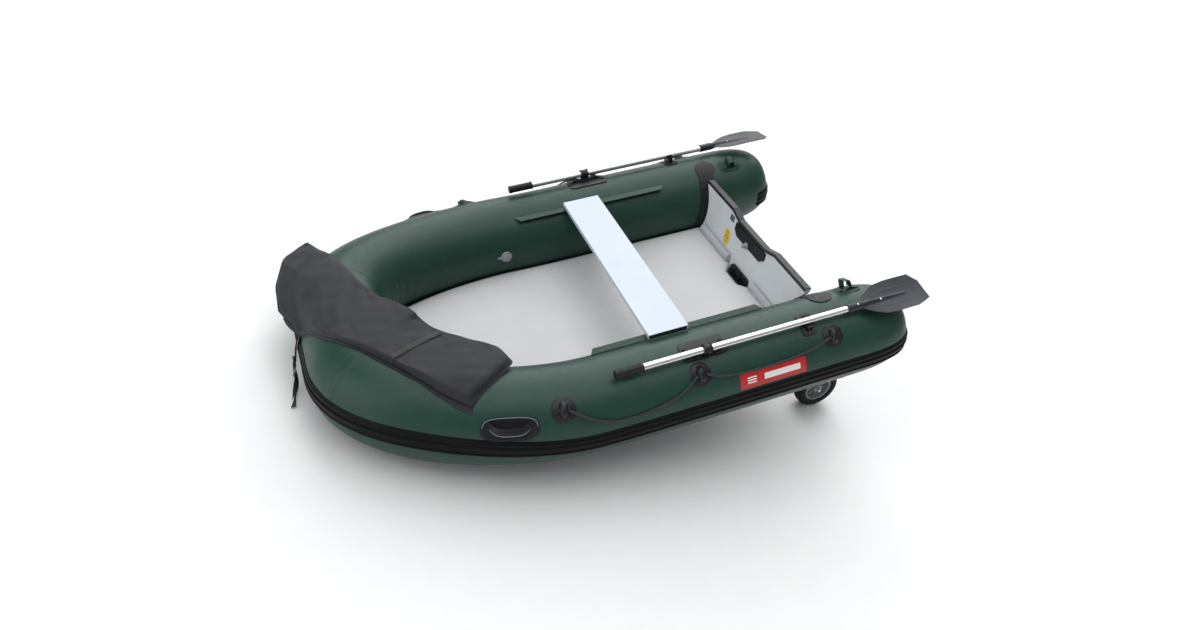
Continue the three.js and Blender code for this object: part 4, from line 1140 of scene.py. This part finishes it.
# The bag's outline from above, in the hull's frame, and its thickness at each end.
BAG_NEAR = [(1.483, 0.643), (1.553, 0.592), (1.723, 0.375), (1.908, 0.168), (2.035, -0.020),
            (2.088, -0.190)]
BAG_FAR = [(1.290, 0.400), (1.396, 0.318), (1.499, 0.241), (1.610, 0.060), (1.700, -0.040),
           (1.764, -0.215), (1.809, -0.375), (1.905, -0.548)]
BAG_PORT_END = [(1.483, 0.643), (1.360, 0.560), (1.268, 0.478), (1.290, 0.400)]
BAG_FORE_END = [(2.088, -0.190), (2.080, -0.320), (2.015, -0.475), (1.905, -0.548)]
BAG_THICKNESS = (0.046, 0.020)
BAG_GAP = 0.004


def along_line(points, t):
    """Points at shares of a polyline's length, with its corners eased."""
    p = np.array(points)
    length = np.concatenate([[0], np.cumsum(np.linalg.norm(np.diff(p, axis=0), axis=1))])
    s = np.asarray(t) * length[-1]
    ease = np.linspace(-0.045, 0.045, 7) * length[-1]
    at = np.clip(s[..., None] + ease, 0, length[-1])
    held = np.minimum(1, np.minimum(np.asarray(t), 1 - np.asarray(t)) / 0.05)[..., None]
    soft = np.stack([np.interp(at, length, p[:, k]).mean(-1) for k in (0, 1)], -1)
    hard = np.stack([np.interp(s, length, p[:, k]) for k in (0, 1)], -1)
    return held * soft + (1 - held) * hard


def bag_plan(u, v):
    """The bag in plan: u from its port end to the bow, v from the near edge to the far one."""
    near, far = along_line(BAG_NEAR, u), along_line(BAG_FAR, u)
    first, last = along_line(BAG_PORT_END, v), along_line(BAG_FORE_END, v)
    a, b, c, d = (np.array(p) for p in (BAG_NEAR[0], BAG_NEAR[-1], BAG_FAR[0], BAG_FAR[-1]))
    u, v = u[..., None], v[..., None]
    corners = (1 - u) * (1 - v) * a + u * (1 - v) * b + (1 - u) * v * c + u * v * d
    return (1 - v) * near + v * far + (1 - u) * first + u * last - corners


def rest_height(plan, stiff=0.0):
    """The height of a sheet laid over the tubes: level inside the axis, falling round them outside.
    Stiff cloth, at 1, spans level instead of falling."""
    stations = np.linspace(0.9, AXIS_LENGTH - 0.9, 500)
    centre = axis_point(stations)
    _, out, _ = axis_frame(stations)
    flat = plan.reshape(-1, 2)
    nearest = np.linalg.norm(flat[:, None] - centre[None, :, :2], axis=-1).argmin(1)
    outboard = ((flat - centre[nearest, :2]) * out[nearest, :2]).sum(-1)
    outboard = np.clip(outboard, 0, 0.86 * TUBE_RADIUS)
    inside = np.clip(-((flat - centre[nearest, :2]) * out[nearest, :2]).sum(-1) - 0.06, 0, 0.3)
    fall = TUBE_RADIUS - np.sqrt(TUBE_RADIUS**2 - outboard**2)
    keep = 1 - np.broadcast_to(stiff, plan.shape[:-1]).ravel()
    height = centre[nearest, 2] + TUBE_RADIUS - fall * keep - 0.10 * inside
    return height.reshape(plan.shape[:-1])


def bag_body():
    """A closed folded bag: thick and square at its port end, thinner over the bow."""
    columns, rows = 132, 60
    u, v = np.meshgrid(np.linspace(0, 1, columns), np.linspace(0, 1, rows), indexing="ij")
    plan = bag_plan(u, v)
    stiff = 0.72 * np.clip((u - 0.62) / 0.3, 0, 1) * np.clip((v - 0.1) / 0.5, 0, 1)
    ground = rest_height(plan, stiff) + BAG_GAP
    thick = BAG_THICKNESS[0] + (BAG_THICKNESS[1] - BAG_THICKNESS[0]) * np.clip((u - 0.18) / 0.5, 0, 1)
    edge = np.minimum(np.minimum(v, 1 - v) / 0.05, np.minimum(u, 1 - u) / 0.035)
    rounding = np.sqrt(1 - (1 - np.clip(edge, 0, 1)) ** 2)
    rng = np.random.default_rng(7)
    ripple = np.zeros_like(u)
    for _ in range(16):
        turn, waves, phase = rng.uniform(-0.5, 0.9), rng.uniform(2, 9), rng.uniform(0, 6.3)
        ripple += np.sin(2 * math.pi * waves * (u * math.cos(turn) * 1.6 + v * math.sin(turn)) + phase) / waves
    creases = 0.0035 * ripple * np.clip(edge, 0, 1)
    lift = 0.013 * np.clip(1 - v / 0.16, 0, 1) ** 1.5 * np.clip(1.1 - u * 1.3, 0, 1)
    top = ground + 0.004 + thick * (0.22 + 0.78 * rounding) + creases + lift * 0.5
    under = np.minimum(ground + lift, top - 0.006)
    layers = [np.concatenate([plan, height[..., None]], -1).reshape(-1, 3) for height in (top, under)]
    return np.concatenate(layers), slab_faces(columns, rows), columns * rows


def settle(piece, held, frames=22):
    """Lets the cloth loosen and crease under its own weight and a little air, held at its underside."""
    group = piece.vertex_groups.new(name="held")
    group.add(held, 1.0, "REPLACE")
    cloth = piece.modifiers.new("cloth", "CLOTH")
    settings = cloth.settings
    settings.quality = 6
    settings.mass = 0.25
    settings.tension_stiffness = settings.compression_stiffness = 18
    settings.shear_stiffness = 8
    settings.bending_stiffness = 0.35
    settings.shrink_min = -0.045
    settings.use_pressure = True
    settings.uniform_pressure_force = 0.9
    settings.vertex_group_mass = "held"
    settings.pin_stiffness = 1.0
    cloth.collision_settings.use_collision = False
    scene = bpy.context.scene
    cloth.point_cache.frame_start, cloth.point_cache.frame_end = 1, frames
    for number in range(1, frames + 1):
        scene.frame_set(number)
    bpy.context.view_layer.update()
    evaluated = piece.evaluated_get(bpy.context.evaluated_depsgraph_get())
    settled = np.array([tuple(vertex.co) for vertex in evaluated.data.vertices])
    start = np.array([tuple(vertex.co) for vertex in piece.data.vertices])
    piece.modifiers.remove(cloth)
    piece.vertex_groups.clear()
    moved = settled - start
    far = np.linalg.norm(moved, axis=1, keepdims=True)
    capped = start + moved * np.minimum(1, 0.016 / np.maximum(far, 1e-9))
    piece.data.vertices.foreach_set("co", capped.ravel())
    piece.data.update()
    scene.frame_set(1)


def bag_top(piece):
    """Finds the bag's upper surface under a point given in plan, in the hull's frame."""
    mesh = piece.data
    tree = BVHTree.FromPolygons([v.co for v in mesh.vertices], [p.vertices for p in mesh.polygons])
    turn, back = HULL.to_3x3(), HULL.inverted()

    def height(x, y):
        hit = tree.ray_cast(HULL @ Vector((x, y, 0.8)), turn @ Vector((0, 0, -1)))[0]
        return (back @ hit).z if hit else None

    return height


def strap_over(top, start, end, half_width, lift=0.0016, hang=0.02):
    """A webbing band laid over the bag from one point in plan to another, turned down at both ends."""
    start, end = np.array(start), np.array(end)
    run = (end - start) / np.linalg.norm(end - start)
    plan = [start + (end - start) * t for t in np.linspace(0, 1, 46)]
    heights = [top(float(x), float(y)) for x, y in plan]
    rows = [(x, y, z + lift) for (x, y), z in zip(plan, heights) if z is not None]
    first, last = np.array(rows[0]), np.array(rows[-1])

    def down(point, way, drop):
        return point + np.array([*(run * way), -drop])

    path = [down(first, -0.005, hang), down(first, -0.004, hang / 2), *rows,
            down(last, 0.004, hang / 2), down(last, 0.005, hang)]
    across = np.tile(np.array([-run[1], run[0], 0.0]), (len(path), 1))
    return ribbon(smooth_line(path), across, half_width, 0.0018)


def smooth_line(points, rounds=3):
    p = np.asarray(points, float).copy()
    for _ in range(rounds):
        p[1:-1] = (p[:-2] + 2 * p[1:-1] + p[2:]) / 4
    return p


def make_bag():
    vertices, faces, count = bag_body()
    bag = make_object("folded_bag", (vertices, faces), "bag_fabric", "bag", sharp=75)
    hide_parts("carry_bag")
    under = np.array(row_points(vertices[count:]))
    at = np.array([tuple(v.co) for v in bag.data.vertices])
    tree = KDTree(len(under))
    for index, point in enumerate(under):
        tree.insert(point, index)
    tree.balance()
    held = [index for index, point in enumerate(at) if tree.find(point)[2] < 1e-5]
    settle(bag, held)
    top = bag_top(bag)
    subdivide(bag)
    band = strap_over(top, (1.716, 0.372), (1.500, 0.262), 0.013)
    add_piece("bag_webbing", band, "webbing", body="bag")
    add_piece("bag_under_fold", under_fold(), "bag_fabric", body="bag")
    add_piece("bag_tails", combine(*tails()), "webbing", body="bag")


def under_fold():
    """The lower layer of cloth, which shows as a thin lip under the near edge."""
    u = np.linspace(0.0, 0.94, 90)
    near = along_line(BAG_NEAR, u)
    run = unit(np.gradient(near, axis=0))
    out = np.stack([-run[:, 1], run[:, 0]], -1)
    out *= np.sign((out * (near - np.array([1.2, 0.0]))).sum(-1, keepdims=True))
    reach = (0.010 * (1 - u) + 0.003)[:, None]
    wander = (0.0025 * np.sin(23 * u) + 0.0015 * np.sin(51 * u))[:, None]
    rows = [near - 0.040 * out, near - 0.015 * out,
            near + (reach + wander) * 0.6 * out, near + (reach + wander) * out]
    plan = np.stack(rows, 1)
    ground = rest_height(plan)
    low = np.concatenate([plan, (ground + 0.0012)[..., None]], -1).reshape(-1, 3)
    high = low + np.array([0, 0, 0.0032])
    return np.concatenate([high, low]), slab_faces(len(u), 4)


def tails():
    """Two loose webbing tails and a slide buckle, hanging in front of the bow."""
    def hanging(points, width, turns):
        line = catmull_rom([np.array(p) for p in points], 8)
        t = np.linspace(0, 1, len(line))
        angle = np.radians(np.interp(t, np.linspace(0, 1, len(turns)), turns))
        across = np.stack([np.cos(angle) * 0.3, np.cos(angle), np.sin(angle) * 0.15], -1)
        across[:, 0] += np.sin(angle)
        return ribbon(line, across, width / 2, 0.0018)

    first = [(2.018, -0.040, 0.296), (2.042, -0.015, 0.242), (2.068, 0.010, 0.175), (2.078, 0.030, 0.125),
             (2.088, 0.070, 0.085), (2.106, 0.125, 0.072), (2.116, 0.165, 0.072)]
    second = [(2.018, -0.010, 0.296), (2.043, 0.008, 0.244), (2.070, 0.026, 0.180), (2.086, 0.044, 0.125),
              (2.096, 0.080, 0.086), (2.110, 0.112, 0.073)]
    bars = [block((0, 0, z), (0.0035, 0.017, 0.0028)) for z in (-0.011, 0.0, 0.011)]
    ends = [block((0, y, 0), (0.0035, 0.0028, 0.0138)) for y in (-0.0145, 0.0145)]
    buckle = placed(combine(*bars, *ends), Matrix.Translation((2.070, 0.018, 0.178)))
    twists = (0, 25, -30, 60, 20, 75), (0, -20, 50, -40, 80, 10)
    return [hanging(first, 0.020, twists[0]), hanging(second, 0.018, twists[1]), buckle]


make_bag()


# ---- CAD nodes that keep their shape ----

def carry_over(node, material, edge=0.0, segments=2):
    piece = frame["nodes"][node]
    piece.data.materials.clear()
    piece.data.materials.append(MATERIALS[material])
    for polygon in piece.data.polygons:
        polygon.use_smooth = True
    piece.data.set_sharp_from_angle(angle=math.radians(32))
    if edge:
        bevel(piece, edge, segments)


# Material, edge rounding and its segments for each node. A name that starts with _ has two sides.
KEPT = {
    "bottom_skin": ("skin_fabric",), "transom_board": ("transom_paint", 0.0015),
    "transom_trim": ("trim_plastic", 0.0025, 3), "motor_pad_inner": ("pad_rubber", 0.002, 3),
    "motor_pad_outer": ("trim_plastic", 0.003, 3), "drain_socket": ("fitting_plastic", 0.001),
    "drain_cap": ("pad_rubber", 0.001), "bench_seat": ("bench_paint", 0.0012),
    "_transom_seal": ("pad_rubber",), "_floor_bracket": ("bracket_plastic", 0.002, 3),
    "_seat_rail": ("tape_fabric", 0.0006), "_oarlock_base": ("fitting_plastic", 0.001),
    "_oar_collar": ("fitting_plastic", 0.001), "_oar_clip": ("fitting_plastic", 0.001),
    "_oar_shaft": ("shaft_aluminium",), "_oar_button": ("zinc_steel",), "_valve_body": ("valve_plastic",),
    "_valve_cap": ("valve_plastic",), "_wheel_bracket": ("zinc_steel", 0.0008),
    "_wheel_leg": ("zinc_steel",), "_wheel_lock_pin": ("zinc_steel",), "_wheel_rim": ("rim_plastic", 0.001),
}


def carry_over_all():
    for name, finish in KEPT.items():
        for side in SIDES if name.startswith("_") else ("",):
            carry_over(side + name, *finish)


carry_over_all()


# ---- floor and light ----

def make_floor():
    mesh = bpy.data.meshes.new("floor")
    reach = 40
    corners = [(-reach, -reach, 0), (reach, -reach, 0), (reach, reach, 0), (-reach, reach, 0)]
    mesh.from_pydata(corners, [], [(0, 1, 2, 3)])
    floor = bpy.data.objects.new("floor", mesh)
    bpy.context.scene.collection.objects.link(floor)
    mesh.materials.append(grained("floor", (0.90, 0.90, 0.90), 0.9, 200, 0.0001, 0.01))


def make_light_source(name, kind, energy, place, target, **settings):
    data = bpy.data.lights.new(name, kind)
    data.energy = energy
    for key, value in settings.items():
        setattr(data, key, value)
    light = bpy.data.objects.new(name, data)
    bpy.context.scene.collection.objects.link(light)
    light.location = place
    light.rotation_euler = (Vector(target) - Vector(place)).to_track_quat("-Z", "Y").to_euler()


def make_light():
    world = bpy.data.worlds.new("studio")
    bpy.context.scene.world = world
    world.use_nodes = True
    background = world.node_tree.nodes["Background"]
    background.inputs["Color"].default_value = (0.95, 0.97, 1.0, 1)
    background.inputs["Strength"].default_value = 0.3
    make_light_source("sky", "SUN", 1.3, (0.4, 0.3, 6), (0, 0, 0), angle=math.radians(60))
    make_light_source("back", "SUN", 1.9, (-2.0, -4.2, 3.8), (0, 0, 0), angle=math.radians(60))
    make_light_source("front", "SUN", 0.9, (5.0, 0.6, 2.2), (0, 0, 0), angle=math.radians(50))
    bpy.context.scene.view_settings.view_transform = "Standard"


make_floor()
make_light()
